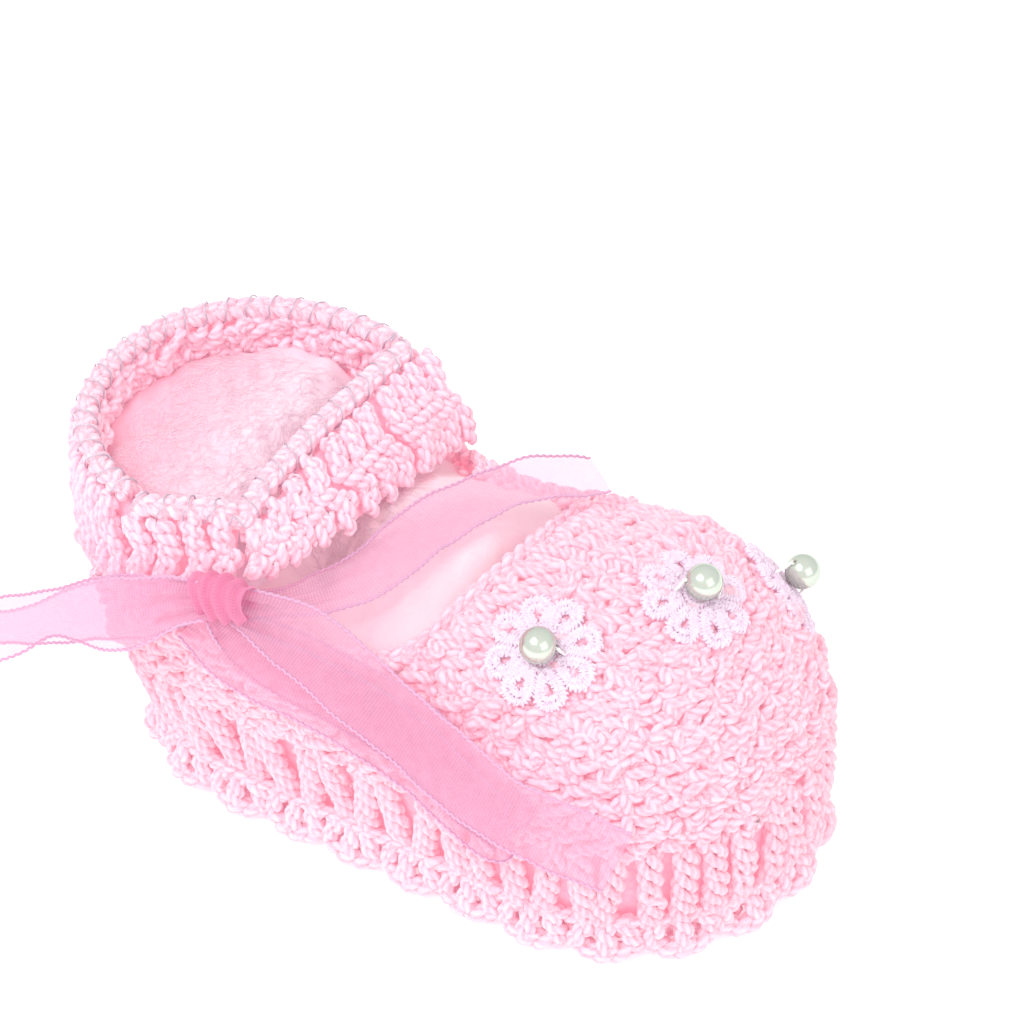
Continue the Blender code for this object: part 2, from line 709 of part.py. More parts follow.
strip("ribbon_tail_side",
      [Vector((-18.4, -26.6, 44.4)), Vector((-12.9, -25.6, 40.8)), Vector((-5.4, -26.4, 36.4)), Vector((1.8, -27.9, 33.6)),
       Vector((10.4, -30.7, 31.2)), Vector((19.5, -32.9, 29.3)), Vector((33.2, -30.8, 24.6))],
      [Vector((0.35, 0.5, 0.8)), Vector((0.3, 0.48, 0.82)), Vector((0.22, 0.48, 0.85)), Vector((0.16, 0.46, 0.87)),
       Vector((0.2, 0.42, 0.88)), Vector((0.2, 0.36, 0.9)), Vector((0.15, 0.3, 0.93))], 6)
strip("ribbon_tail_instep",
      [Vector((-19.3, -21.8, 43.3)), Vector((-14.6, -17.9, 43.5)), Vector((-10.0, -12.2, 43.8)), Vector((-6.2, -4.0, 45.2)),
       Vector((-1.8, 3.2, 46.8)), Vector((4.2, 9.4, 47.6)), Vector((11.6, 15.0, 46.2))],
      [Vector((-0.62, 0.78, -0.02)), Vector((-0.72, 0.68, -0.04)), Vector((-0.84, 0.52, -0.1)), Vector((-0.84, 0.54, -0.12)),
       Vector((-0.78, 0.64, -0.12)), Vector((-0.62, 0.78, -0.14)), Vector((-0.42, 0.9, -0.2))], 5, gather=0.5)
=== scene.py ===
import math

import bpy
import numpy as np
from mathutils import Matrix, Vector


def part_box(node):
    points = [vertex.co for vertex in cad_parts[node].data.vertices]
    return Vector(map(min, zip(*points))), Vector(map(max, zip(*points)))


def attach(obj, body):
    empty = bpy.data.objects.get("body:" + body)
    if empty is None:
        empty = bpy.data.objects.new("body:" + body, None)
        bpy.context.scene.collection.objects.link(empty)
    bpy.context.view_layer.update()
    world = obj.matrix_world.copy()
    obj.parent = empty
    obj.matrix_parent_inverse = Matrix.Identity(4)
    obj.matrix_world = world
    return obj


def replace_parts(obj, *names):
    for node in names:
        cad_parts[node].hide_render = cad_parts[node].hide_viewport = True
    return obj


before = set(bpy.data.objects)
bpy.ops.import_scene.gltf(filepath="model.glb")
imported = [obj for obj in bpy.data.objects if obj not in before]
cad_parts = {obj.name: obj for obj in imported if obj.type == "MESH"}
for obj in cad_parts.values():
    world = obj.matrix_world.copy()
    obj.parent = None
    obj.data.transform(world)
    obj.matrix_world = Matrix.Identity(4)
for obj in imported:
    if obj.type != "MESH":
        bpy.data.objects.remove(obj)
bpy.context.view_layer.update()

# Lengths are in millimetres up to the meshes, which are in metres.
MM = 0.001
RNG = np.random.default_rng(11)
SCENE = bpy.context.scene
ROOT = "bootie"

# ---- camera ----
AZIMUTH, ELEVATION, DISTANCE = 23.5, 42.0, 0.358
AIM = Vector((0.00365, 0.0025, 0.047))


def aimed_object(name, data, location, direction):
    """An object at a place that looks along a direction."""
    obj = bpy.data.objects.new(name, data)
    SCENE.collection.objects.link(obj)
    obj.location = location
    obj.rotation_mode = "QUATERNION"
    obj.rotation_quaternion = direction.to_track_quat("-Z", "Y")
    return obj


cam_data = bpy.data.cameras.new("camera")
cam_data.lens, cam_data.sensor_width = 93.2, 36.0
azimuth, elevation = math.radians(AZIMUTH), math.radians(ELEVATION)
back = Vector((math.sin(azimuth) * math.cos(elevation), -math.cos(azimuth) * math.cos(elevation),
               math.sin(elevation)))
SCENE.camera = aimed_object("camera", cam_data, AIM + back * DISTANCE, -back)

# ---- foot shape, the same surface as the CAD's ----
TOE_X, TOE_R, BULGE_Z, RIDGE_Z, ROUND = 21.4, 28.6, 13.0, 45.0, 0.85
HEEL_R = 22.5           # radius of the heel at its widest line
SIDE = 50.0             # length of a side between heel and toe
VAMP_TOE_R = 27.2       # sideways radius of the upper over the toes
HEEL = np.array(((2.0, -27.0, 20.6), (13.0, -28.6, HEEL_R), (27.0, -32.0, 24.2), (40.0, -33.8, 24.9)))
LEAN = math.asin((TOE_R - HEEL_R) / SIDE)
NEAR, FAR = -(math.pi / 2 + LEAN), math.pi / 2 + LEAN
KNIT = 2.4
VAMP_LOW = 26.0         # height where the toe cap's back edge starts
SCALLOPS = 26


def lerp(a, b, t):
    return a + (b - a) * t


def ease(t):
    t = np.clip(t, 0.0, 1.0)
    return t * t * (3.0 - 2.0 * t)


def arr(x):
    return np.atleast_1d(np.asarray(x, float))


def unit(v):
    return v / np.maximum(np.linalg.norm(v, axis=-1, keepdims=True), 1e-9)


def run_length(path):
    """Distance from the start of a path to each of its points; paths have shape (..., K, 3)."""
    step = np.linalg.norm(np.diff(path, axis=-2), axis=-1)
    return np.concatenate([np.zeros(step.shape[:-1] + (1,)), np.cumsum(step, -1)], -1)


def sample(at, places, line):
    """The points of a line, known at places, for other places."""
    return np.stack([np.interp(at, places, line[:, i]) for i in range(3)], -1)


def heel_at(z):
    return np.interp(z, HEEL[:, 0], HEEL[:, 1]), np.interp(z, HEEL[:, 0], HEEL[:, 2])


def toe_radius(z):
    z = arr(z)
    low = TOE_R * (1.0 - 0.085 * (np.clip(BULGE_Z - z, 0, None) / BULGE_Z) ** 2)
    t = np.clip((z - BULGE_Z) / (RIDGE_Z - BULGE_Z), 0.0, 1.0)
    return np.where(z < BULGE_Z, low, TOE_R * np.sqrt(np.clip(1.0 - t ** (2.0 / ROUND), 0.0, 1.0)))


def shell_radius(t, z):
    heel_r = heel_at(z)[1]
    toe = toe_radius(z)
    low = lerp(heel_r, toe, t)
    high = lerp(lerp(heel_r, VAMP_TOE_R, t), toe * lerp(0.9, 1.0, t), ease((t - 0.12) / 0.5))
    return lerp(low, high, ease((z - BULGE_Z) / 16.0))


def shell(t, phi, z):
    """Outer surface of the foot: t 0 at the heel's centre, 1 at the toe's; phi is the heading there."""
    t, phi, z = np.broadcast_arrays(arr(t), arr(phi), arr(z))
    r = shell_radius(t, z)
    x = lerp(heel_at(z)[0], TOE_X, t)
    return np.stack([x + r * np.cos(phi), r * np.sin(phi), z], -1)


def ring_place(w, heel_r, side, toe_r):
    """t and phi round a closed line; w runs 0 to 1 from the heel, outer side first."""
    heel_len, toe_len = heel_r * (math.pi - FAR), toe_r * 2 * FAR
    stops = np.cumsum([0.0, heel_len, side, toe_len, side, heel_len])
    s = (arr(w) % 1.0) * stops[-1]
    t = np.interp(s, stops, (0, 0, 1, 1, 0, 0))
    return t, np.interp(s, stops, (-math.pi, NEAR, NEAR, FAR, FAR, math.pi))


def wall_ring(w, z):
    """Closed path round the foot at a height."""
    return shell(*ring_place(w, HEEL_R, SIDE, TOE_R), z)


def vamp_x(y):
    """x of the toe cap's back edge."""
    return 9.7 + 0.306 * y - 0.0115 * y * y


def edge_table(side, ahead):
    """Heights and the t where each side meets the toe cap's back edge, found by halving."""
    levels = np.linspace(VAMP_LOW, RIDGE_Z, 80)
    low, high = np.zeros(80), np.ones(80)
    for _ in range(26):
        mid = (low + high) / 2
        p = shell(mid, side * FAR, levels)
        less = p[:, 0] < vamp_x(p[:, 1]) + ahead
        low, high = np.where(less, mid, low), np.where(less, high, mid)
    return levels, (low + high) / 2


EDGE = {side: edge_table(side, 0.0) for side in (-1, 1)}
EDGE_BACK = {side: edge_table(side, -3.3) for side in (-1, 1)}


def upper_path(w, z, edges, middle, bend_len, bend_to):
    """Level line from the outer edge of the vamp, round the toe or the heel, to the inner edge."""
    t0, t1 = np.interp(z, *edges[-1]), np.interp(z, *edges[1])
    span = TOE_X - heel_at(z)[0]
    outer, inner = np.abs(middle - t0) * span, np.abs(middle - t1) * span
    s = w * (outer + bend_len + inner)
    on_outer, before_inner = s < outer, s < outer + bend_len
    t = np.where(on_outer, lerp(t0, middle, s / np.maximum(outer, 1e-6)),
                 np.where(before_inner, middle,
                          lerp(middle, t1, (s - outer - bend_len) / np.maximum(inner, 1e-6))))
    bend = lerp(NEAR, bend_to, (s - outer) / np.maximum(bend_len, 1e-6))
    return shell(t, np.where(on_outer, NEAR, np.where(before_inner, bend, FAR)), z)


def cap_path(w, z):
    """Across the toe cap at a height."""
    w, z = np.broadcast_arrays(arr(w), arr(z))
    z = np.clip(z, VAMP_LOW, RIDGE_Z - 0.02)
    return upper_path(w, z, EDGE, 1.0, shell_radius(np.ones_like(z), z) * 2 * FAR, FAR)


def cap_length(z):
    return run_length(cap_path(np.linspace(0, 1, 160), z))[-1]


def quarter_path(w, z):
    """Round the heel at a height."""
    w, z = np.broadcast_arrays(arr(w), arr(z))
    return upper_path(w, z, EDGE_BACK, 0.0, 24.5 * 2 * (math.pi - FAR), FAR - 2 * math.pi)


def quarter_top(x, y):
    near = lerp(38.7, 33.6, ease((x + 22.0) / 10.0))
    far = lerp(38.7, 33.6, ease((x + 9.0) / 9.0))
    return np.where(y < 0, near, far)


def cap_height(x, y):
    """Height of the upper's outer surface over a plan point."""
    x, y = np.broadcast_arrays(arr(x), arr(y))
    low, high = np.full(x.shape, BULGE_Z), np.full(x.shape, RIDGE_Z)
    for _ in range(24):
        mid = (low + high) / 2
        heel_x = heel_at(mid)[0]
        t = np.clip((x - heel_x) / (TOE_X - heel_x), 0, 1)
        past_toe = np.hypot(x - TOE_X, y) < toe_radius(mid)
        inside = np.where(x > TOE_X, past_toe, np.abs(y) < shell_radius(t, mid))
        low, high = np.where(inside, mid, low), np.where(inside, high, mid)
    return (low + high) / 2


# ---- collar's surfaces ----
RING_C, RING_R = -33.8, 24.5
COLLAR_LOW, COLLAR_HIGH = 39.7, 53.0
BACK_FROM = math.radians(252.0)
TAB_FROM, TAB_TO = math.radians(256.2), math.radians(286.0)
BACK_ARC = 0.82         # share of the collar's length that is round
TAB_LEAN = 4.6


def collar_back(w, k):
    """Outer face of the collar from beside the tab round the heel to the strap's root; k rises 0 to 1."""
    w, k = np.broadcast_arrays(arr(w), arr(k))
    z = lerp(COLLAR_LOW, COLLAR_HIGH - 0.3, k)
    radius = RING_R - 0.5 * k * k
    ang = lerp(BACK_FROM, math.pi / 2, np.clip(w / BACK_ARC, -0.05, 1.0))
    x, y = RING_C + radius * np.cos(ang), radius * np.sin(ang)
    s = np.clip((w - BACK_ARC) / (1 - BACK_ARC), 0.0, 1.1)
    end_x, end_y = lerp(-13.6, -21.4, k), lerp(22.6, 22.0, k)
    x = np.where(w > BACK_ARC, lerp(RING_C, end_x, s), x)
    y = np.where(w > BACK_ARC, lerp(radius, end_y, s * s), y)
    return np.stack([x, y, z], -1)


def collar_tab(s, k):
    """Outer face of the tab, s 0 to 1 towards the split; its rim leans over the ankle."""
    s, k = np.broadcast_arrays(arr(s), arr(k))
    ang = lerp(TAB_FROM, lerp(TAB_TO, TAB_TO - 0.035, k), s)
    rise = np.clip(k, 0.0, 1.2)
    z = lerp(COLLAR_LOW, COLLAR_HIGH - 0.9 - 0.9 * s * s * rise, k)
    lean = TAB_LEAN * rise ** 1.4 * ease(0.08 + 0.92 * s)
    return np.stack([RING_C + RING_R * np.cos(ang), RING_R * np.sin(ang) + lean, z], -1)


def catmull(keys, n):
    """Smooth curve through key points, n samples a span; keys has shape (..., K, 3)."""
    keys = np.asarray(keys, float)
    pad = np.concatenate([keys[..., :1, :], keys, keys[..., -1:, :]], -2)
    p0, p1, p2, p3 = (pad[..., i:i + keys.shape[-2] - 1, :] for i in range(4))
    t = (np.arange(n) / n)[:, None]
    seg = 0.5 * ((2 * p1)[..., None, :] + (p2 - p0)[..., None, :] * t
                 + (2 * p0 - 5 * p1 + 4 * p2 - p3)[..., None, :] * t * t
                 + (3 * p1 - p0 - 3 * p2 + p3)[..., None, :] * t ** 3)
    flat = seg.reshape(*keys.shape[:-2], -1, 3)
    return np.concatenate([flat, keys[..., -1:, :]], -2)


STRAP_FOOT = catmull([(-11.2, 20.6, 40.6), (-13.2, 12.0, 42.2), (-15.2, 1.0, 43.8), (-18.6, -11.4, 44.9),
                      (-24.9, -21.4, 44.8)], 12)
STRAP_RIM = catmull([(-18.9, 20.8, 52.9), (-20.6, 11.5, 53.2), (-22.6, 0.5, 53.0), (-24.6, -10.5, 51.6),
                     (-25.4, -19.0, 49.3)], 12)


def collar_strap(w, k):
    """Face of the strap from its root to its free end; k rises from its foot line to its rim."""
    w, k = np.broadcast_arrays(arr(w), arr(k))
    places = np.linspace(0, 1, len(STRAP_FOOT))
    foot, rim = sample(w, places, STRAP_FOOT), sample(w, places, STRAP_RIM)
    bow = np.sin(math.pi * np.clip(k, 0, 1)) * 0.9 + KNIT / 2
    return foot + (rim - foot) * k[..., None] + np.stack([bow, 0 * bow, bow * 0.6], -1)


# ---- meshes ----
FLOOR_GAP = 0.03        # stitches flatten where the sole stands
QUADS_A_PIECE = 90000


def new_piece(label, mesh, mat, body):
    mesh.materials.append(mat)
    obj = bpy.data.objects.new(label, mesh)
    SCENE.collection.objects.link(obj)
    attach(obj, body)
    return obj


def set_layer(mesh, name, values):
    """A number or a vector for each vertex, which the materials read."""
    kind, field = ("FLOAT_VECTOR", "vector") if values.ndim > 1 else ("FLOAT", "value")
    layer = mesh.attributes.new(name, kind, "POINT")
    layer.data.foreach_set(field, values.astype(np.float32).ravel())


def grid_piece(name, pts, mat, body, closed=False):
    """Piece from a grid of points (rows, columns, 3)."""
    pts = np.asarray(pts, float)
    rows, cols = pts.shape[:2]
    quads = []
    for i in range(rows - 1):
        for j in range(cols if closed else cols - 1):
            j2 = (j + 1) % cols
            quads.append((i * cols + j, i * cols + j2, (i + 1) * cols + j2, (i + 1) * cols + j))
    mesh = bpy.data.meshes.new(name)
    mesh.from_pydata((pts.reshape(-1, 3) * MM).tolist(), [], quads)
    mesh.polygons.foreach_set("use_smooth", np.ones(len(quads), bool))
    return new_piece(name, mesh, mat, body)


def place(surface, w, b, c, out=1.0):
    """Points at (w, b) on a surface, c millimetres off it along its outward side."""
    w, b, c = np.broadcast_arrays(arr(w), arr(b), arr(c))
    shape = w.shape
    w, b, c = w.ravel(), b.ravel(), c.ravel()
    h = 2e-3
    n = unit(np.cross(surface(w + h, b) - surface(w - h, b), surface(w, b + h) - surface(w, b - h)))
    return (surface(w, b) + n * (c * out)[:, None]).reshape(*shape, 3)


# ---- yarn ----
SMOOTH = dict(sides=6, plies=1, depth=0.0)      # a fine strand with no plies
TWIST = 4.0             # length of a ply's turn


def jitter(shape, amount):
    return RNG.normal(0, amount, shape)


class Yarn:
    """Collects strands and turns them into plied tubes."""

    def __init__(self):
        self.verts, self.quads, self.attr, self.tint, self.deep, self.count = [], [], [], [], [], 0

    def add(self, paths, radius=0.8, sides=15, plies=3, depth=0.36):
        paths = np.asarray(paths, float)
        if paths.ndim == 2:
            paths = paths[None]
        m, k = paths.shape[:2]
        tan = unit(np.gradient(paths, axis=1))
        n = np.where(np.abs(tan[:, 0, 2:3]) > 0.8, np.array([[1.0, 0, 0]]), np.array([[0, 0, 1.0]]))
        normals = np.empty_like(paths)
        for i in range(k):
            n = unit(n - tan[:, i] * (n * tan[:, i]).sum(1, keepdims=True))
            normals[:, i] = n
        binormals = np.cross(tan, normals)
        along = run_length(paths)
        phase = RNG.uniform(0, 2 * math.pi, (m, 1))
        phi = np.arange(sides) * 2 * math.pi / sides
        turn = phi[None, None, :] - (2 * math.pi * along / TWIST + phase)[..., None]
        ply_ridge_and_shade = np.abs(np.cos(plies * turn / 2)) ** 0.7
        to_end = np.minimum(along, along[:, -1:] - along)
        close = np.clip(to_end / (radius * 1.1), 0.0, 1.0)
        close = lerp(0.02, 1.0, np.sqrt(np.clip(close * (2 - close), 0, 1)))
        r = radius * (1 - depth + depth * ply_ridge_and_shade) * close[..., None]
        pts = (paths[:, :, None] + normals[:, :, None] * (r * np.cos(phi))[..., None]
               + binormals[:, :, None] * (r * np.sin(phi))[..., None])
        attr = np.stack([np.broadcast_to(along[..., None] + phase[..., None] * 9, turn.shape),
                         np.cos(turn) * radius, np.sin(turn) * radius], -1)
        base = self.count + (np.arange(m) * k * sides)[:, None, None]
        i = np.arange(k - 1)[None, :, None] * sides
        j = np.arange(sides)[None, None, :]
        j2 = (j + 1) % sides
        self.quads.append(np.stack([base + i + j, base + i + j2, base + i + sides + j2,
                                    base + i + sides + j], -1).reshape(-1, 4))
        self.verts.append(pts.reshape(-1, 3))
        self.attr.append(attr.reshape(-1, 3))
        self.tint.append(np.repeat(RNG.uniform(0, 1, (m, 1)), k * sides, 1).ravel())
        # The ply profile, 1 on the ridges, goes to the materials as painted shade in the grooves; strands
        # with no plies get none.
        self.deep.append(np.broadcast_to(ply_ridge_and_shade if depth else 1.0, turn.shape).ravel())
        self.count += m * k * sides

    def build(self, name, mat, body):
        """The strands as one piece, or as numbered pieces when there are many."""
        verts, quads = np.concatenate(self.verts), np.concatenate(self.quads)
        verts[:, 2] = np.maximum(verts[:, 2], FLOOR_GAP)
        layers = {"strand": self.attr, "tint": self.tint, "ply_ridge_and_shade": self.deep}
        layers = {key: np.concatenate(values) for key, values in layers.items()}
        parts = max(1, math.ceil(len(quads) / QUADS_A_PIECE))
        cuts = np.linspace(0, len(quads), parts + 1).astype(int)
        made = []
        for i in range(parts):
            q = quads[cuts[i]:cuts[i + 1]]
            used, inv = np.unique(q, return_inverse=True)
            label = name if parts == 1 else "%s_%d" % (name, i + 1)
            mesh = bpy.data.meshes.new(label)
            mesh.vertices.add(len(used))
            mesh.vertices.foreach_set("co", (verts[used] * MM).astype(np.float32).ravel())
            mesh.loops.add(q.size)
            mesh.loops.foreach_set("vertex_index", inv.astype(np.int32).ravel())
            mesh.polygons.add(len(q))
            mesh.polygons.foreach_set("loop_start", np.arange(0, q.size, 4, dtype=np.int32))
            mesh.update(calc_edges=True)
            mesh.polygons.foreach_set("use_smooth", np.ones(len(q), bool))
            for key, values in layers.items():
                set_layer(mesh, key, values[used])
            made.append(new_piece(label, mesh, mat, body))
        return made


def frames(paths, up_hint):
    """Sideways and upward unit vectors along paths."""
    tan = unit(np.gradient(paths, axis=-2))
    up = unit(up_hint - tan * (up_hint * tan).sum(-1, keepdims=True))
    return np.cross(tan, up), up


def rope(centre, side, up, strands, offset, pitch, phase=0.0, flat=1.0):
    """Strands twisted round a centre line; all arrays (..., K, 3)."""
    along = run_length(centre)
    out = []
    for s in range(strands):
        ang = 2 * math.pi * (along / pitch + s / strands) + phase
        out.append(centre + side * (offset * np.cos(ang))[..., None]
                   + up * (offset * flat * np.sin(ang))[..., None])
    return out


def cord_rope(yarn, path, strands=2, offset=0.8, pitch=6.0, **kw):
    side, up = frames(path, np.broadcast_to(np.array([0, 0, 1.0]), path.shape))
    for strand in rope(path, side, up, strands, offset, pitch):
        yarn.add(strand, **kw)


def braid(yarn, path, offset=0.95, pitch=6.6, up=(0, 0, 1), **kw):
    """Three strands plaited along a line."""
    side, up = frames(path, np.broadcast_to(np.asarray(up, float), path.shape))
    for s in range(3):
        ang = 2 * math.pi * (run_length(path) / pitch + s / 3)
        sway = side * (offset * np.sin(ang))[:, None]
        yarn.add(path + sway + up * (0.62 * offset * np.sin(2 * ang))[:, None], **kw)


def resample(path, step):
    s = run_length(path)
    n = max(4, int(s[-1] / step))
    return sample(np.linspace(0, s[-1], n), s, path)


# ---- stitches ----
# One strand each, in cell widths, cell heights and millimetres off the surface.
SC_LEFT = ((0.52, -0.12, -0.3), (0.4, 0.12, 0.75), (0.2, 0.42, 1.05), (0.08, 0.72, 0.65), (0.04, 0.9, -0.3))
SC_RIGHT = ((0.48, -0.12, -0.3), (0.62, 0.12, 0.75), (0.8, 0.42, 1.05), (0.9, 0.72, 0.65), (0.94, 0.9, -0.3))
CHAIN_LOW = ((-0.1, 0.22, -0.1), (0.14, 0.12, 0.85), (0.5, 0.22, 1.2), (0.86, 0.55, 0.85), (1.06, 0.84, 0.0))
CHAIN_HIGH = ((-0.06, 0.42, 0.0), (0.18, 0.64, 0.95), (0.5, 0.88, 1.15), (0.86, 1.0, 0.7), (1.1, 0.96, -0.1))
CHAIN_SHARE = 0.46      # share of a row's height that its chain takes


def stitch_set(yarn, surface, cells, keys, radius, wild, out=1.0, lift=0.0):
    """One strand on each of many cells; cells is an array of (w, width, b, height)."""
    cells, keys = np.asarray(cells, float), np.asarray(keys, float)
    m, k = len(cells), len(keys)
    if m == 0:
        return
    da, db = jitter((m, k), wild), jitter((m, k), wild)
    dc = jitter((m, k), wild * 2.2) + jitter((m, 1), wild * 2.6)
    w = cells[:, 0:1] + cells[:, 1:2] * (keys[None, :, 0] + da)
    b = cells[:, 2:3] + cells[:, 3:4] * (keys[None, :, 1] + db)
    yarn.add(catmull(place(surface, w, b, keys[None, :, 2] + dc + lift, out), 4), radius=radius)


def row_cells(count, b0, b1, shift=0.0, keep=None, w_high=1.0):
    """A row of cells between two heights."""
    dw = w_high / count
    starts = (np.arange(count) + shift) * dw
    cells = np.stack([starts, np.full(count, dw), np.full(count, b0), np.full(count, b1 - b0)], 1)
    return cells if keep is None else cells[keep(cells)]


def single_row(yarn, surface, count, b0, b1, shift=0.0, keep=None, out=1.0, lift=-0.7, wild=0.15):
    """A row of single crochet: a V of two legs under a chain of loops."""
    height = b1 - b0
    split = lerp(b0, b1, 1.0 - CHAIN_SHARE)
    legs = row_cells(count, b0, split + height * 0.08, shift, keep)
    tops = row_cells(count, split - height * 0.04, b1 + height * 0.02, shift, keep)
    for cells, keys in ((legs, SC_LEFT), (legs, SC_RIGHT), (tops, CHAIN_LOW), (tops, CHAIN_HIGH)):
        stitch_set(yarn, surface, cells, keys, 0.86, wild, out, lift)


def posts(yarn, surface, cells, lean=0.0, offset=0.75, pitch=4.2, radius=0.8, centre_c=0.1, n=9, out=1.0,
          wild=0.05, strands=2):
    """Tall twisted posts, one for each cell, leaning sideways by lean cell widths."""
    m = len(cells)
    b = np.linspace(-0.04, 1.04, n)[None, :] + np.zeros((m, 1))
    lean = np.broadcast_to(np.asarray(lean, float), (m,))[:, None]
    a = 0.5 + lean * (b - 0.5) + jitter((m, 1), wild) + jitter((m, n), wild * 0.5)
    c = centre_c + 0.25 * np.sin(math.pi * b) + jitter((m, 1), wild * 2)
    at = cells[:, 0:1] + cells[:, 1:2] * a, cells[:, 2:3] + cells[:, 3:4] * b
    centre, above = (catmull(place(surface, *at, height, out), 3) for height in (c, c + 0.5))
    side, up = frames(centre, above - centre)
    phase = RNG.uniform(0, 2 * math.pi, (m, 1))
    for strand in rope(centre, side, up, strands, offset, pitch, phase, 0.6):
        yarn.add(strand, radius=radius)


# ---- materials ----
def new_material(name):
    mat = bpy.data.materials.new(name)
    mat.use_nodes = True
    nt = mat.node_tree
    nt.nodes.clear()
    return mat, nt, nt.nodes.new("ShaderNodeOutputMaterial")


def shader_node(nt, kind, **values):
    """A node with its input values set; an underscore stands for a space in an input's name."""
    n = nt.nodes.new("ShaderNode" + kind)
    for key, value in values.items():
        n.inputs[key.replace("_", " ")].default_value = value
    return n


def link(nt, a, b):
    nt.links.new(a, b)


def math_node(nt, op, *values):
    n = nt.nodes.new("ShaderNodeMath")
    n.operation = op
    for socket, value in zip(n.inputs, values):
        if isinstance(value, (int, float)):
            socket.default_value = value
        else:
            link(nt, value, socket)
    return n.outputs[0]


def weighted(nt, total, *terms):
    """A number plus each output times its weight."""
    for output, weight in terms:
        total = math_node(nt, "ADD", math_node(nt, "MULTIPLY", output, weight), total)
    return total


def ramp(nt, fac, low, high):
    """Two colours, each as (position, colour), blended by an output."""
    n = nt.nodes.new("ShaderNodeValToRGB")
    for element, stop in zip(n.color_ramp.elements, (low, high)):
        element.position, element.color = stop
    link(nt, fac, n.inputs[0])
    return n.outputs[0]


def attribute(nt, name):
    n = nt.nodes.new("ShaderNodeAttribute")
    n.attribute_name = name
    return n


def noise(nt, vector, scale, detail=2.0):
    n = shader_node(nt, "TexNoise", Scale=scale, Detail=detail)
    link(nt, vector, n.inputs["Vector"])
    return n.outputs["Fac"]


def object_place(nt):
    return nt.nodes.new("ShaderNodeTexCoord").outputs["Object"]


def bump(nt, shader, height, strength, distance):
    n = shader_node(nt, "Bump", Strength=strength, Distance=distance)
    link(nt, height, n.inputs["Height"])
    link(nt, n.outputs[0], shader.inputs["Normal"])


def mix_shader(nt, fac, first, second):
    n = nt.nodes.new("ShaderNodeMixShader")
    if isinstance(fac, float):
        n.inputs[0].default_value = fac
    else:
        link(nt, fac, n.inputs[0])
    link(nt, first.outputs[0], n.inputs[1])
    link(nt, second.outputs[0], n.inputs[2])
    return n


def yarn_material(name, light, deep, sheen=0.6, sub=0.25, rough=0.8, painted_glow=(0.80, 0.40, 0.52, 1)):
    """Plied yarn: fibres run along each ply and the tint varies; the grooves between plies get painted
    shade, a darker pink, and the yarn has a painted glow.
    """
    mat, nt, out = new_material(name)
    strand = attribute(nt, "strand").outputs["Vector"]
    stretched = shader_node(nt, "Mapping", Scale=(0.45, 2.6, 2.6))
    link(nt, strand, stretched.inputs["Vector"])
    fibre = noise(nt, stretched.outputs[0], 1.6, 3.0)
    patch = noise(nt, strand, 0.35)
    tint, ply_ridge_and_shade = (attribute(nt, key).outputs["Fac"] for key in ("tint", "ply_ridge_and_shade"))
    # The ply profile's weight paints shade into the grooves, pulling the colour towards the darker pink.
    mix = weighted(nt, 0.0, (fibre, 0.55), (tint, 0.12), (patch, 0.16), (ply_ridge_and_shade, 0.55))
    # The emission is a painted glow standing in for soft fill light.
    bsdf = shader_node(nt, "BsdfPrincipled", Roughness=rough, Specular_IOR_Level=0.28,
                       Subsurface_Weight=sub, Subsurface_Radius=(1.0, 0.55, 0.6),
                       Subsurface_Scale=0.0012, Sheen_Weight=sheen, Sheen_Roughness=0.4,
                       Sheen_Tint=(1.0, 0.9, 0.93, 1.0), Emission_Color=painted_glow, Emission_Strength=0.25)
    link(nt, ramp(nt, mix, (0.42, deep), (0.98, light)), bsdf.inputs["Base Color"])
    bump(nt, bsdf, fibre, 0.8, 0.0003)
    link(nt, bsdf.outputs[0], out.inputs[0])
    return mat


def backing_material():
    """Under-layer between the stitches: a dull pink sheet with a knit-like grain, in the saturated pink of
    painted shade in the gaps, with a painted glow.
    """
    mat, nt, out = new_material("pink_under_layer_gap_shade")
    spot = object_place(nt)
    cells = shader_node(nt, "TexVoronoi", Scale=620.0)
    link(nt, spot, cells.inputs["Vector"])
    distance = cells.outputs["Distance"]
    # Its two pinks are painted shade between the stitches, and its emission is a painted glow.
    bsdf = shader_node(nt, "BsdfPrincipled", Roughness=0.9, Sheen_Weight=0.3,
                       Emission_Color=(0.90, 0.44, 0.56, 1), Emission_Strength=0.42)
    colour = ramp(nt, distance, (0.0, (0.95, 0.46, 0.56, 1)), (0.8, (0.93, 0.34, 0.44, 1)))
    link(nt, colour, bsdf.inputs["Base Color"])
    bump(nt, bsdf, weighted(nt, 0.0, (distance, -1.0), (noise(nt, spot, 2400.0, 4.0), 0.5)), 0.8, 0.0006)
    link(nt, bsdf.outputs[0], out.inputs[0])
    return mat


def plain_material(name, colour, rough, sheen=0.0, spec=0.5, sub=0.0, metal=0.0, grain=0.0, scale=3000.0,
                   painted_glow=((1, 1, 1, 1), 0.0)):
    """One colour, with a fine grain if wanted; the glow argument is a colour and its strength, an emission
    that paints light onto the surface.
    """
    mat, nt, out = new_material(name)
    bsdf = shader_node(nt, "BsdfPrincipled", Base_Color=colour, Roughness=rough, Sheen_Weight=sheen,
                       Specular_IOR_Level=spec, Metallic=metal, Emission_Color=painted_glow[0],
                       Emission_Strength=painted_glow[1], Subsurface_Weight=sub,
                       Subsurface_Radius=(1.0, 0.9, 0.9), Subsurface_Scale=0.001)
    if grain:
        bump(nt, bsdf, noise(nt, object_place(nt), scale, 4.0), grain, 0.0002)
    link(nt, bsdf.outputs[0], out.inputs[0])
    return mat


def wadding_material(name, colour, grain, scale, painted_glow):
    return plain_material(name, colour, 1.0, 0.3, 0.03, sub=0.5, grain=grain, scale=scale, painted_glow=painted_glow)


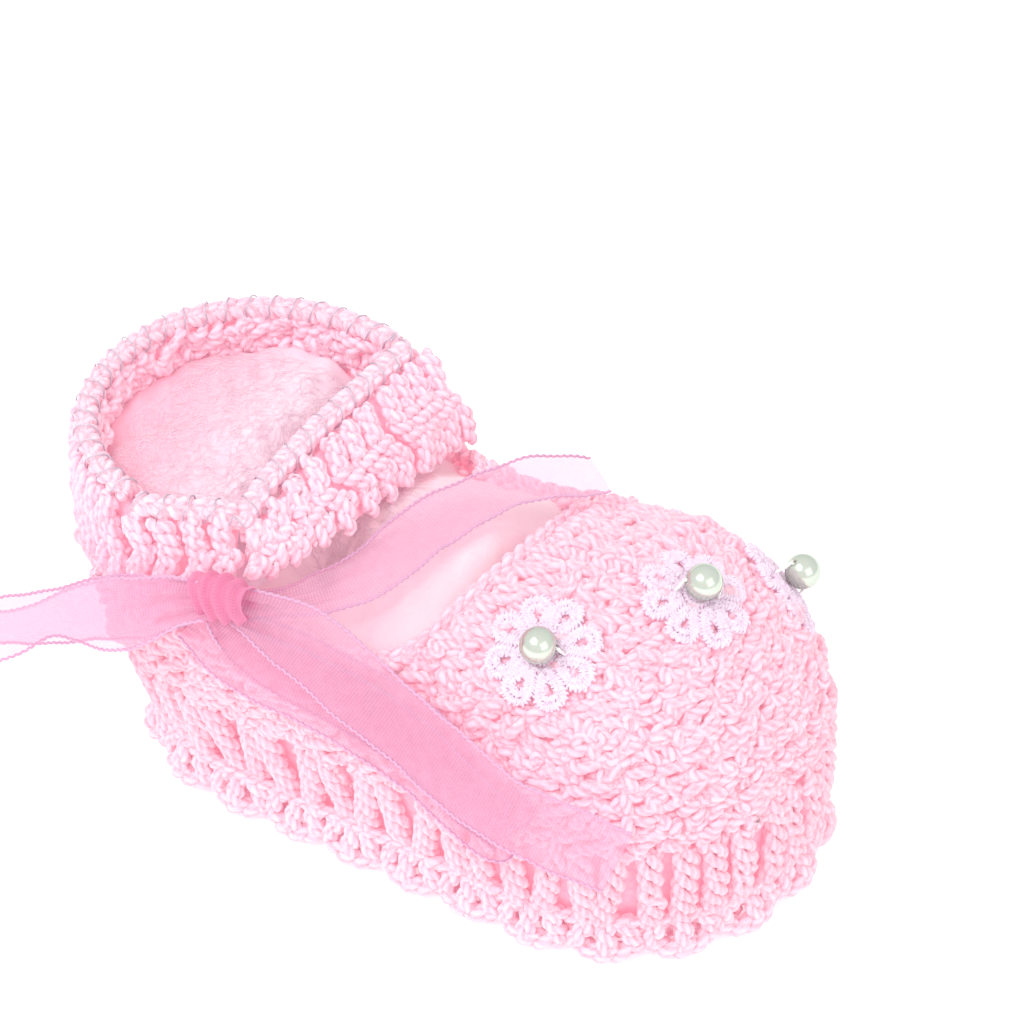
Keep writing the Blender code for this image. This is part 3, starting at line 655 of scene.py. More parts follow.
def ankle_material():
    """The wadding in the ankle: pinker towards the heel, where the collar shades it, which is painted shade,
    and lifted by a painted glow.
    """
    # Painted glow: emission that lifts the shade on the ankle wadding.
    painted_glow = ((1.0, 0.76, 0.86, 1), 0.10)
    mat = wadding_material("white_wadding_ankle", (0.84, 0.62, 0.71, 1), 0.6, 800.0, painted_glow)
    nt = mat.node_tree
    spot = object_place(nt)
    split = nt.nodes.new("ShaderNodeSeparateXYZ")
    link(nt, spot, split.inputs[0])
    shade = weighted(nt, 2.6, (split.outputs[0], 62.0), (noise(nt, spot, 110.0), 0.7))
    colour = ramp(nt, shade, (0.0, (0.86, 0.42, 0.53, 1)), (1.0, (0.80, 0.66, 0.73, 1)))
    link(nt, colour, nt.nodes["Principled BSDF"].inputs["Base Color"])
    return mat


def pearl_material():
    mat, nt, out = new_material("pearl_lustre")
    bsdf = shader_node(nt, "BsdfPrincipled", Base_Color=(0.62, 0.68, 0.60, 1), Roughness=0.17,
                       Specular_IOR_Level=0.6, Coat_Weight=1.0, Coat_Roughness=0.04, Metallic=0.6,
                       Subsurface_Weight=0.2, Subsurface_Scale=0.001)
    gloss = shader_node(nt, "BsdfGlossy", Color=(0.46, 0.55, 0.46, 1), Roughness=0.17)   # at the rim
    grazing = shader_node(nt, "LayerWeight", Blend=0.4)
    link(nt, mix_shader(nt, grazing.outputs["Facing"], bsdf, gloss).outputs[0], out.inputs[0])
    return mat


def organza(name, cover, tint, through=(0.97, 0.83, 0.90, 1)):
    """Sheer cloth: cover is the share of it that the threads hide."""
    mat, nt, out = new_material(name)
    strand = attribute(nt, "strand").outputs["Vector"]
    split = nt.nodes.new("ShaderNodeSeparateXYZ")
    link(nt, strand, split.inputs[0])
    weft, warp = (math_node(nt, "SINE", math_node(nt, "MULTIPLY", split.outputs[i], 2 * math.pi / step))
                  for i, step in ((0, 0.42), (1, 0.36)))
    fac = weighted(nt, cover - 0.12, (noise(nt, strand, 0.55, 3.0), 0.24), (weft, 0.05), (warp, 0.03))
    clear = shader_node(nt, "BsdfTransparent", Color=through)
    cloth = shader_node(nt, "BsdfPrincipled", Base_Color=tint, Roughness=0.42, Specular_IOR_Level=0.35,
                        Sheen_Weight=0.35)
    bump(nt, cloth, math_node(nt, "ADD", weft, warp), 0.3, 0.00008)
    thin = shader_node(nt, "BsdfTranslucent", Color=tint)
    link(nt, mix_shader(nt, fac, clear, mix_shader(nt, 0.4, cloth, thin)).outputs[0], out.inputs[0])
    return mat


PINK = yarn_material("pink_yarn_plied", (0.92, 0.60, 0.68, 1), (0.86, 0.32, 0.42, 1))
PINK_COLLAR = yarn_material("pink_yarn_collar_plied", (0.92, 0.65, 0.74, 1), (0.86, 0.36, 0.47, 1))
PINK_EDGE = yarn_material("pink_yarn_edging_plied", (0.92, 0.65, 0.73, 1), (0.86, 0.36, 0.46, 1))
UNDER = backing_material()
SILVER = plain_material("silver_lilac_thread", (0.58, 0.50, 0.60, 1), 0.3, metal=0.4, grain=0.4)
# The wadding's emission is a painted glow that lifts the shadow under the strap.
WADDING = wadding_material("white_wadding_fluff", (0.76, 0.56, 0.62, 1), 0.9, 500.0,
                           ((1.0, 0.74, 0.80, 1), 0.15))
ANKLE = ankle_material()
# The loose fibres have a painted glow.
FLUFF = plain_material("white_wadding_fibres", (0.87, 0.67, 0.76, 1), 0.9, sheen=0.3, spec=0.03,
                       painted_glow=((1.0, 0.74, 0.84, 1), 0.05))
# The lace's emission is a painted glow too.
LACE = yarn_material("iridescent_lace_thread", (0.90, 0.74, 0.87, 1), (0.80, 0.52, 0.71, 1), sheen=0.4,
                     sub=0.1, rough=0.4, painted_glow=(0.20, 0.12, 0.17, 1))
THREAD = plain_material("white_sewing_thread", (0.92, 0.88, 0.88, 1), 0.6, sheen=0.3, grain=0.3)
PEARL = pearl_material()
ORGANZA = organza("pink_organza_sheer", 0.5, (0.88, 0.57, 0.73, 1))
GATHER = organza("pink_organza_gathered", 0.82, (0.90, 0.36, 0.56, 1))
SELVEDGE = plain_material("lilac_pink_selvedge", (0.66, 0.36, 0.54, 1), 0.5, sheen=0.4, grain=0.4)


def under_layer(node, surface, w, levels, inset, body=ROOT, closed=False):
    """A sheet under a piece's stitches, inset millimetres off its face, coloured as painted shade in the
    gaps between them.
    """
    grid = [place(surface, w, level, inset) for level in levels]
    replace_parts(grid_piece(node + "_under", grid, UNDER, body, closed), node)


# ---- side wall ----
def heel_only(cells):
    return (cells[:, 0] < 0.22) | (cells[:, 0] > 0.80)


def side_wall():
    yarn = Yarn()
    count = 56
    cells = row_cells(count, 6.6, 20.2)
    near = (cells[:, 0] > 0.10) & (cells[:, 0] < 0.36)
    by_turns = np.where(np.arange(count) % 2 == 0, 0.5, -0.3)
    lean = np.where(near, by_turns, RNG.uniform(-0.3, 0.3, count))
    posts(yarn, wall_ring, cells, lean, offset=1.2, radius=0.84, pitch=7.6, n=13, wild=0.09, strands=3)
    single_row(yarn, wall_ring, 68, 2.6, 6.0, lift=-1.0)
    single_row(yarn, wall_ring, 66, 19.8, 23.7)
    single_row(yarn, wall_ring, 66, 23.5, 27.3, shift=0.5)
    for r in range(4):
        z0 = 12.6 + 3.7 * r
        single_row(yarn, wall_ring, 62, z0, z0 + 3.8, out=-1.0, lift=KNIT - 0.9, keep=heel_only)
    yarn.build("side_wall_stitches", PINK, ROOT)
    ring = np.linspace(0, 1, 181)[:-1]
    under_layer("side_wall", wall_ring, ring, np.linspace(2.9, 28.2, 22), -1.1, closed=True)


# ---- toe cap ----
CAP_Z = np.linspace(27.0, RIDGE_Z - 0.01, 400)
CAP_RISE = run_length(np.stack([toe_radius(CAP_Z), CAP_Z], 1))
ACROSS_CAP = np.linspace(0, 1, 121)


def cap_z(s):
    return np.interp(s, CAP_RISE, CAP_Z)


def cap_surface(w, s):
    """Across the toe cap; s is the distance up the toe's centre line."""
    return cap_path(w, cap_z(s))


def toe_cap():
    yarn = Yarn()
    stops = np.linspace(0, CAP_RISE[-1] - 0.5, 11)
    for low, high in zip(stops, stops[1:]):
        count = max(5, int(round(cap_length(cap_z((low + high) / 2)) / 3.9)))
        single_row(yarn, cap_surface, count, low - 0.1, high + 0.25, wild=0.12)
    m = 220                                         # loose loops that break up the rows
    s = RNG.uniform(1.5, CAP_RISE[-1] - 3.0, m)
    widths = 4.2 / np.array([cap_length(z) for z in cap_z(s)])
    loose = np.stack([RNG.uniform(0.03, 0.93, m), widths, s, RNG.uniform(2.6, 3.8, m)], 1)
    stitch_set(yarn, cap_surface, loose[::2], CHAIN_LOW, 0.8, 0.18, lift=-0.85)
    stitch_set(yarn, cap_surface, loose[1::2], SC_RIGHT, 0.8, 0.18, lift=-0.75)
    x = np.linspace(10.4, 22.5, 60)
    ridge = np.stack([x, 0.25 * np.sin(x), np.full(60, RIDGE_Z + 0.1)], 1)
    braid(yarn, ridge, offset=1.15, radius=0.82)
    yarn.build("toe_cap_stitches", PINK, ROOT)
    under_layer("toe_cap", cap_surface, ACROSS_CAP, np.linspace(0, CAP_RISE[-1] - 0.3, 26), -1.1)


# ---- quarter ----
def below_top(z_mid):
    """Keeps the cells whose middle is under the quarter's top edge."""
    def keep(cells):
        p = quarter_path(cells[:, 0] + cells[:, 1] / 2, z_mid)
        return quarter_top(p[:, 0], p[:, 1]) > z_mid
    return keep


def heel_quarter():
    yarn = Yarn()
    for r in range(3):
        z0 = 27.3 + r * 3.75
        single_row(yarn, quarter_path, 45, z0, z0 + 4.0, 0.5 * (r % 2), below_top(z0 + 2.2), out=-1.0)
        single_row(yarn, quarter_path, 42, z0, z0 + 4.0, keep=below_top(z0 + 2.4), lift=KNIT - 0.9)
    yarn.build("heel_quarter_stitches", PINK, ROOT)
    p = quarter_path(ACROSS_CAP, 33.0)
    top = quarter_top(p[:, 0], p[:, 1]) + 0.6
    levels = [lerp(27.4, top, k) for k in np.linspace(0, 1, 10)]
    under_layer("heel_quarter", quarter_path, ACROSS_CAP, levels, 1.1)


# ---- collar ----
def collar():
    thirds = [(r / 3, (r + 1) / 3) for r in range(3)]
    eighths = np.linspace(0, 1, 8)

    yarn = Yarn()
    for r, (low, high) in enumerate(thirds):
        cells = row_cells(27, low - 0.03, high + 0.05, shift=0.3 * r)
        lean = 0.6 if r % 2 else -0.6
        posts(yarn, collar_back, cells, lean, offset=0.8, radius=0.9, pitch=3.8, out=-1.0)
    for low, high in thirds:
        single_row(yarn, collar_back, 24, low, high + 0.03, lift=KNIT - 0.9)
    yarn.build("collar_back_stitches", PINK_COLLAR, ROOT)
    under_layer("collar_back", collar_back, np.linspace(0, 1, 61), np.linspace(-0.05, 1, 8), 1.2)

    yarn = Yarn()
    for r, (low, high) in enumerate(thirds):
        cells = row_cells(4, low - 0.03, high + 0.06, w_high=1.14)
        lean = 0.6 if r % 2 else -0.6
        posts(yarn, collar_tab, cells, lean, offset=0.85, radius=0.92, pitch=3.8, centre_c=0.3, wild=0.12)
        cells = row_cells(4, low, high + 0.03)
        posts(yarn, collar_tab, cells, 0.3, offset=0.5, radius=0.85, out=-1.0, centre_c=KNIT - 0.4)
    yarn.build("collar_tab_stitches", PINK_COLLAR, ROOT)
    under_layer("collar_tab", collar_tab, np.linspace(0, 1.12, 12), eighths, -1.2)

    yarn = Yarn()
    for r, (low, high) in enumerate(thirds):
        b0, b1 = lerp(0.06, 1, low) - 0.03, lerp(0.06, 1, high) + 0.03
        cells = row_cells(12, b0, b1, 0.25 * (r % 2), w_high=1.05)
        lean = 0.7 if r % 2 else -0.7
        posts(yarn, collar_strap, cells, lean, offset=0.85, radius=0.92, pitch=3.9, out=-1.0, centre_c=0.2,
              wild=0.1)
        cells = row_cells(12, lerp(0.05, 1, low), lerp(0.05, 1, high) + 0.02)
        posts(yarn, collar_strap, cells, 0.3, offset=0.5, radius=0.85, centre_c=KNIT - 0.2)
    yarn.build("collar_strap_stitches", PINK_COLLAR, "collar_strap")
    under_layer("collar_strap", collar_strap, np.linspace(0, 1, 40), eighths, 1.2, "collar_strap")


# ---- rims and edging ----
RIM_R = 1.55


def rim_chain(node, path, body=ROOT, silver=True):
    """Overcast edge: plaited and twisted strands round the rim, with a fine shiny thread wound over them."""
    path = resample(path, 0.42)
    path = path + jitter(path.shape, 0.03)
    edge = Yarn()
    braid(edge, path, up=(0.35, -0.55, 0.75))
    cord_rope(edge, path, offset=0.35, radius=0.85, pitch=5.4)
    made = edge.build(node + "_chain", PINK_EDGE, body)
    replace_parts(made[0], node)
    if silver:
        fine = Yarn()
        cord_rope(fine, resample(path, 0.2), strands=1, offset=1.74, radius=0.12, pitch=3.3, **SMOOTH)
        fine.build(node + "_chain_thread", SILVER, body)


def side_edge(side, x0):
    """Line over the quarter's top edge from the collar's foot to the toe cap."""
    run = []
    for x in np.linspace(x0, 9.0, 26):
        z = quarter_top(arr(x), arr(side))[0] + 1.7
        heel_x = heel_at(z)[0]
        t = (x - heel_x) / (TOE_X - heel_x)
        run.append((x, side * (shell_radius(arr(t), arr(z))[0] - KNIT / 2), z))
    run = np.array(run)
    return run[run[:, 0] < vamp_x(run[:, 1]) - 2.2]


def rims():
    over = np.array([0, 0, RIM_R + 0.35])
    path = place(collar_back, np.linspace(0, 1, 200), 1.0, KNIT / 2) + over
    path[-1, 0] -= 1.0
    rim_chain("collar_back_rim", path)
    rim_chain("collar_tab_rim", place(collar_tab, np.linspace(0, 1.1, 44), 1.0, -KNIT / 2 * 0.9) + over)
    middle = len(STRAP_RIM) // 2
    rise = unit(STRAP_RIM[middle] - STRAP_FOOT[middle])
    rim_chain("collar_strap_rim", STRAP_RIM + rise * (RIM_R + 0.45), "collar_strap")

    y = np.linspace(-16.5, 16.5, 24)
    c = np.clip(np.abs(y) / (0.93 * TOE_R - KNIT / 2), 0, 1)
    z = BULGE_Z + (RIDGE_Z - KNIT / 2 - BULGE_Z) * np.sqrt(1 - c * c) ** ROUND
    behind = unit(np.stack([np.full(24, -1.0), 0.306 - 0.023 * y, np.zeros(24)], 1))
    vamp_line = np.stack([vamp_x(y), y, z], 1) + behind * 2.0
    edging = np.concatenate([side_edge(-1, -21.0), vamp_line, side_edge(1, -8.0)[::-1]])
    rim_chain("opening_edging", catmull(resample(edging, 4.0), 8), silver=False)


# ---- scallops and sole ----
SOLE_HEEL_X, SOLE_HEEL_R, SOLE_TOE_R, SOLE_SIDE = -26.9, 21.4, 26.9, 48.6


def sole_line(w, extra):
    """The sole's outline, moved outward by extra."""
    t, phi = ring_place(w, SOLE_HEEL_R, SOLE_SIDE, SOLE_TOE_R)
    r = lerp(SOLE_HEEL_R, SOLE_TOE_R, t) + extra
    return np.stack([lerp(SOLE_HEEL_X, TOE_X, t) + r * np.cos(phi), r * np.sin(phi), 0 * r], -1)


def skirt(w, b):
    """Scalloped skirt: b 0 on the wall, 1 at the lobes' edge."""
    w, b = np.broadcast_arrays(arr(w), arr(b))
    lobe = np.abs(np.sin(math.pi * SCALLOPS * w)) ** 0.6
    p = sole_line(w, lerp(1.3, 3.4 * lobe - 0.1, np.clip(b, 0, 1.2) ** 0.8))
    p[..., 2] = lerp(7.2, 2.3 - 0.4 * lobe, np.clip(b, -0.1, 1.2))
    return p


def sole_face(w, b):
    p = sole_line(w, -b)
    p[..., 2] = 2.15
    return p


def scallops():
    yarn = Yarn()
    cells = row_cells(SCALLOPS * 3, 0.0, 0.92)      # three posts a lobe, spread like a fan
    fan = np.tile([-0.5, 0.0, 0.5], SCALLOPS)
    posts(yarn, skirt, cells, fan, offset=0.72, radius=0.82, centre_c=0.3, n=7, out=-1.0)
    edge = skirt(np.linspace(0, 1, SCALLOPS * 30 + 1), 0.94)
    cord_rope(yarn, edge, offset=0.66, radius=0.95, pitch=4.4)
    root = place(skirt, np.linspace(0, 1, SCALLOPS * 20 + 1), 0.02, 0.3, -1.0)
    cord_rope(yarn, root, offset=0.5, radius=0.7, pitch=4.0)
    made = yarn.build("scallop_fans", PINK_EDGE, ROOT)
    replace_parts(made[0], "scallop_edging")


def sole():
    yarn = Yarn()
    for r in range(6):
        b0 = 0.2 + r * 3.7
        count = int(round((234 - 23 * (r + 0.5)) / 4.0))
        single_row(yarn, sole_face, count, b0, b0 + 3.9, lift=-0.9)
    x = np.linspace(-24, 20, 90)
    for y in (-1.1, 1.1):
        line = np.stack([x, np.full(90, y), np.full(90, 1.9)], 1)
        cord_rope(yarn, line, offset=0.6, radius=0.85, pitch=4.4)
    yarn.build("sole_stitches", PINK, ROOT)
    ring = np.linspace(0, 1, 121)[:-1]
    grid = [sole_line(ring, -b) + np.array([0, 0, 2.3]) for b in (0.0, 5.0, 10.0, 16.0, 21.2)]
    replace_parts(grid_piece("sole_under", grid, UNDER, ROOT, closed=True), "sole")


# ---- wadding ----
FLANK_TOP, FLANK = 31.0, 0.35       # height of the wadding's flanks and their share of its rows
SLOPE_X, ANKLE_R = -33.0, 20.5


def blob_noise(x, y, amp=1.0):
    return amp * (0.9 * np.sin(0.33 * x + 1.3) * np.cos(0.29 * y) + 0.5 * np.sin(0.71 * x - 0.4 * y)
                  + 0.3 * np.sin(1.3 * x + 0.9 * y + 0.7))


def wadding_top(x, y):
    """Height of the filling: high in the ankle, low under the strap, sloping into the toe."""
    ankle, instep = ease((x + 55.0) / 8.0), ease((x + 16.0) / 8.0)
    under_strap = np.exp(-((x + 18.0) / 6.0) ** 2)
    z = lerp(36.0, 49.5, ankle) - 9.0 * under_strap * ankle - 6.0 * instep - 7.0 * ease((x + 1.0) / 13.0)
    return z - lerp(0.006, 0.016, instep) * y * y + blob_noise(x, y)


def ankle_top(x, y, reach_squared):
    slope = np.clip((x - SLOPE_X) / 10.0, 0, 1)
    return 50.2 - 0.004 * reach_squared + blob_noise(x, y, 0.7) - 7.5 * slope ** 1.6


def wadding():
    ring = np.linspace(0, 1, 161)[:-1]
    shares = np.linspace(0, 1, 40)
    grid = []
    for k in shares[shares < FLANK]:
        p = wall_ring(ring, lerp(4.0, FLANK_TOP, k / FLANK)) * np.array([0.975, 1, 1])
        core = np.stack([np.clip(p[:, 0], -28, 18), 0 * p[:, 1]], 1)
        d = p[:, :2] - core
        r = np.linalg.norm(d, axis=1)[:, None]
        p[:, :2] = core + d / r * (r - KNIT - 1.6)
        p[:, 0] = np.clip(p[:, 0], -53.5, 60.0)
        grid.append(p)
    rim = grid[-1][:, :2]
    core = np.stack([np.clip(rim[:, 0], -24, 16), 0 * rim[:, 1]], 1)
    for k in shares[shares >= FLANK]:
        turn = (k - FLANK) / (1 - FLANK) * math.pi / 2
        xy = core + (rim - core) * math.cos(turn)
        top = np.maximum(wadding_top(xy[:, 0], xy[:, 1]), 24.0)
        grid.append(np.column_stack([xy, lerp(FLANK_TOP, top, math.sin(turn) ** 0.38)]))
    fluff = grid_piece("wadding_fluff", grid, WADDING, ROOT, closed=True)
    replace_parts(fluff, "wadding")


def ankle_wadding():
    turn = np.linspace(0, 2 * math.pi, 121)[:-1]
    grid = []
    for k in np.linspace(0, 1, 30):
        reach = 21.8 * math.cos(k * math.pi / 2) ** 0.8 if k < 1 else 0.02
        x, y = RING_C + reach * np.cos(turn), reach * np.sin(turn)
        x = np.where(x > -30.0, -30.0 + 8.6 * np.tanh((x + 30.0) / 8.6), x)
        z = lerp(34.0, ankle_top(x, y, reach ** 2), min(1.0, k * 4.5) ** 0.5)
        grid.append(np.stack([x, y, z], 1))
    fluff = grid_piece("wadding_ankle_fluff", grid, ANKLE, ROOT, closed=True)


def wadding_fibres():
    """Loose fibres that wander over both tops."""
    yarn = Yarn()
    m, k = 3800, 11
    x0, y0 = RNG.uniform(-52, 9, m), RNG.uniform(-19, 19, m)
    heading = RNG.uniform(0, 2 * math.pi, (m, 1)) + np.cumsum(RNG.normal(0, 0.4, (m, k)), 1)
    x = x0[:, None] + np.cumsum(0.6 * np.cos(heading), 1)
    y = y0[:, None] + np.cumsum(0.6 * np.sin(heading), 1)
    reach = np.hypot(x - RING_C, y)
    z = np.where((reach < ANKLE_R) & (x < -22.0), ankle_top(x, y, reach ** 2), 30.0)
    z = np.maximum(z, wadding_top(x, y)) + np.abs(np.cumsum(RNG.normal(0, 0.06, (m, k)), 1)) - 0.05
    bound = np.where(x < -24, 19.0, 14.5)
    inside = (np.abs(y) < bound).all(1) & (x.min(1) > -52) & (x.max(1) < 9) & (reach.min(1) < ANKLE_R)
    yarn.add(np.stack([x, y, z], -1)[inside], radius=0.03, sides=4, plies=1, depth=0.0)
    yarn.build("wadding_fibres", FLUFF, ROOT)


# ---- lace flowers, pearls and threads ----
PETALS, PEARL_R, PEARL_BORE = 8, 2.5, 0.45
FLOWER_AT = ((16.0, -15.0, 10.0), (31.0, -0.5, 25.0), (38.0, 15.5, 40.0))      # x, y, heading in degrees
PETAL_MID, PETAL_REACH, PETAL_HALF = 4.95, 2.45, 2.02
LACE_LIFT = 1.5


def cap_frame(x, y, spin):
    """A point on the toe cap with its side, its other side and its outward direction."""
    h = 1.2
    heights = cap_height([x + h, x - h, x, x], [y, y, y + h, y - h])
    normal = unit(np.array([heights[1] - heights[0], heights[3] - heights[2], 2 * h]))
    side = np.array([math.cos(math.radians(spin)), math.sin(math.radians(spin)), 0.0])
    side = unit(side - normal * side.dot(normal))
    return np.array([x, y, cap_height(x, y)[0]]), side, np.cross(normal, side), normal


def corded(lace, line, fine, up, thick, pitch, radius, wobble=0.0):
    """A lace cord: a core with a fine thread wound closely round it."""
    side, upward = frames(fine, np.broadcast_to(up, fine.shape))
    wound = rope(fine, side, upward * 0.6, 1, thick, pitch)[0]
    if wobble:
        wound = wound + jitter(wound.shape, wobble)
    lace.add(wound, radius=radius, sides=5, plies=1, depth=0.0)
    lace.add(line, radius=thick * 0.75, sides=8, plies=1, depth=0.0)


def flower(number, origin, ex, ey, ez):
    def on_cap(u, v, height):
        """Flower plan point to the curved toe cap, height millimetres over it."""
        p = origin + u[..., None] * ex + v[..., None] * ey
        top = cap_height(p[..., 0], p[..., 1])
        follow = (top - p[..., 2]) * max(0.35, ez[2])
        return p + (np.clip(follow, -3.5, 0.6) + height)[..., None] * ez

    lace = Yarn()
    swing = 2 * math.pi * np.linspace(0, 1, 120)
    for k in range(PETALS):
        mid = 2 * math.pi * (k + 0.5) / PETALS + RNG.normal(0, 0.03)
        for size, thick in ((1.0, 0.58), (0.60, 0.50)):
            radial = PETAL_MID - PETAL_REACH * np.cos(swing) * size + 0.12 * np.sin(9 * swing + k)
            across = PETAL_HALF * size * np.sin(swing) * (0.80 - 0.40 * np.cos(swing))
            x = radial * math.cos(mid) - across * math.sin(mid)
            y = radial * math.sin(mid) + across * math.cos(mid)
            line = on_cap(x, y, LACE_LIFT + 0.15 * np.sin(5 * swing + k))
            corded(lace, line, catmull(line[::2], 5), ez, thick, 0.52, 0.19, wobble=0.03)
    swing = np.linspace(0, 2 * math.pi, 90)
    for r, thick in ((2.55, 0.42), (1.6, 0.4), (0.8, 0.4)):
        line = on_cap(r * np.cos(swing), r * np.sin(swing), np.full(90, LACE_LIFT - 0.05))
        corded(lace, line, catmull(line, 4), ez, thick, 0.5, 0.16)
    made = lace.build("lace_flower_%d_threads" % number, LACE, ROOT)
    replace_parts(made[0], "lace_flower_%d" % number)


def pearl(number, centre, ex, ey, ez):
    """A bead turned round its bore, from the ball's profile and the bore's."""
    start = math.asin(PEARL_BORE / PEARL_R)
    profile = np.linspace(start, math.pi - start, 40)
    radii = np.append(PEARL_R * np.sin(profile), [PEARL_BORE * 0.98] * 2)
    places = np.append(PEARL_R * np.cos(profile), [-1.2, 1.2])
    turn = np.linspace(0, 2 * math.pi, 57)[:-1, None]
    grid = [centre + ex * x + ey * np.cos(turn) * r + ez * np.sin(turn) * r for x, r in zip(places, radii)]
    node = "pearl_%d" % number
    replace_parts(grid_piece(node + "_bead", grid + grid[:1], PEARL, node, closed=True), node)


def pearl_thread(number, centre, ex, ez):
    reach = PEARL_R + 0.18
    keys = [(-reach - 0.4, -2.9), (-reach, -1.2), (-reach + 0.3, -0.15), (0, 0), (reach - 0.3, -0.15),
            (reach, -1.2), (reach + 0.4, -2.9)]
    line = catmull([centre + ex * x + ez * z for x, z in keys], 10)
    sewn = Yarn()
    cord_rope(sewn, line, offset=0.12, radius=0.15, pitch=1.2, **SMOOTH)
    made = sewn.build("pearl_%d_thread" % number, THREAD, ROOT)
    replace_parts(made[0], "pearl_thread_%d" % number)


def flowers():
    for number, at in enumerate(FLOWER_AT, 1):
        origin, ex, ey, ez = cap_frame(*at)
        flower(number, origin, ex, ey, ez)
        low, high = (np.array(v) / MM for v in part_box("pearl_%d" % number))
        pearl(number, (low + high) / 2, ex, ey, ez)
        pearl_thread(number, (low + high) / 2, ex, ez)


# ---- ribbons ----
# Each route is listed points along the ribbon, and the direction across it at each.
RIBBON_W, HEM_R, HEM_STITCH = 10.0, 0.2, 0.95
LOOP_LEFT = ([(-26.6, -28.6, 46.4), (-31.0, -29.6, 45.4), (-36.0, -31.2, 43.0), (-42.5, -32.4, 40.2),
              (-50, -33.8, 37.6), (-58, -35.8, 34.2), (-69, -38.0, 30.2), (-75.5, -37.5, 27.6),
              (-73.0, -34.0, 27.8), (-60, -31.0, 31.2), (-50, -29.8, 35.2), (-40, -28.8, 39.9),
              (-28.4, -27.4, 44.2)],
             [(-0.15, 0.35, 0.8), (-0.2, 0.5, 0.8), (-0.2, 0.45, 0.8), (-0.1, 0.1, 1), (0.1, -0.35, 0.9),
              (0.0, 0.0, 1), (0, 0.3, 1), (0, 0.25, 1), (0, 0.1, 1), (0, -0.2, 1), (0, -0.1, 1), (0, 0.1, 1),
              (-0.1, 0.2, 0.9)])
LOOP_RIGHT = ([(-29.0, -28.6, 41.4), (-22.4, -28.3, 37.0), (-12.8, -27.3, 34.0), (-4.5, -27.6, 31.8),
               (3.8, -28.8, 29.2), (11.4, -30.6, 25.4), (16.8, -31.5, 23.2), (18.2, -30.6, 23.3),
               (16.8, -29.8, 23.9), (11.4, -29.2, 26.4), (3.8, -27.1, 30.6), (-4.5, -26.0, 33.0),
               (-12.8, -25.8, 35.2), (-20.6, -26.4, 38.6), (-24.8, -27.6, 44.4)],
              [(0.45, 0.25, 0.85), (0.35, 0.3, 0.88), (0.3, 0.42, 0.84), (0.25, 0.42, 0.85),
               (0.25, 0.38, 0.87), (0.4, 0.25, 0.87), (0.42, 0.2, 0.87), (0.42, 0.2, 0.87),
               (0.42, 0.2, 0.87), (0.4, 0.25, 0.87), (0.25, 0.38, 0.87), (0.25, 0.42, 0.85),
               (0.3, 0.42, 0.84), (0.3, 0.3, 0.9), (0.4, 0.3, 0.85)])
TAIL_SIDE = ([(-23.6, -28.4, 46.6), (-18.8, -27.2, 44.6), (-12.9, -26.0, 40.9), (-5.4, -26.9, 36.6),
              (1.8, -28.4, 33.8), (10.4, -31.1, 31.4), (19.5, -33.3, 29.5), (33.2, -31.4, 24.8)],
             [(0.45, 0.4, 0.8), (0.35, 0.5, 0.8), (0.3, 0.48, 0.82), (0.22, 0.48, 0.85), (0.16, 0.46, 0.87),
              (0.2, 0.42, 0.88), (0.2, 0.36, 0.9), (0.15, 0.3, 0.93)])
TAIL_INSTEP = ([(-22.8, -26.2, 45.0), (-19.2, -22.0, 43.3), (-14.5, -18.0, 43.5), (-10.0, -12.3, 44.0),
                (-6.6, -3.6, 45.4), (-1.8, 3.2, 47.0), (4.2, 9.4, 47.8), (11.6, 15.0, 46.4)],
               [(-0.6, 0.8, 0.2), (-0.62, 0.78, 0.05), (-0.72, 0.68, -0.02), (-0.84, 0.52, -0.08),
                (-0.84, 0.54, -0.12), (-0.78, 0.64, -0.12), (-0.62, 0.78, -0.14), (-0.42, 0.9, -0.2)])


def ribbon(node, route, narrow, ruffle=0.25):
    """A band along its route; narrow gives the share of its width at shares of its length."""
    path, wide = catmull(route[0], 14), catmull(route[1], 14)
    tan = unit(np.gradient(path, axis=0))
    wide = unit(wide - tan * (wide * tan).sum(1, keepdims=True))
    out = np.cross(tan, wide)
    along = run_length(path)
    s, v = along[:, None], np.linspace(-1, 1, 17)[None, :]
    size = np.interp(along / along[-1], *narrow)[:, None]
    phase = RNG.uniform(0, 6)
    wave = ruffle * (np.sin(s * 0.35 + 1.7 * v + phase) + 0.5 * np.sin(s * 0.9 - 2.3 * v) * v ** 2)
    wave = wave + (1 - size) * 1.6 * np.cos(v * 9.0)
    sideways = v * RIBBON_W / 2
    grid = path[:, None] + wide[:, None] * (sideways * size)[..., None] + out[:, None] * wave[..., None]
    name = node + "_band"
    obj = grid_piece(name, grid, ORGANZA, node)
    set_layer(obj.data, "strand", np.stack(np.broadcast_arrays(s, sideways, 0.0), -1))
    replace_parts(obj, node)
    hem = Yarn()
    for col, sign in ((0, -1), (-1, 1)):
        line = resample(grid[:, col], 0.16)
        step = np.linspace(0, 1, len(line)) * along[-1]
        turn = (step * 2 * math.pi / HEM_STITCH)[:, None]
        line = line + sample(step, along, wide) * (sign * HEM_R * 0.5 * np.sin(turn))
        line = line + sample(step, along, out) * (HEM_R * 0.4 * np.cos(turn))
        hem.add(line, radius=HEM_R, **SMOOTH)
    made = hem.build(name + "_selvedge", SELVEDGE, node)


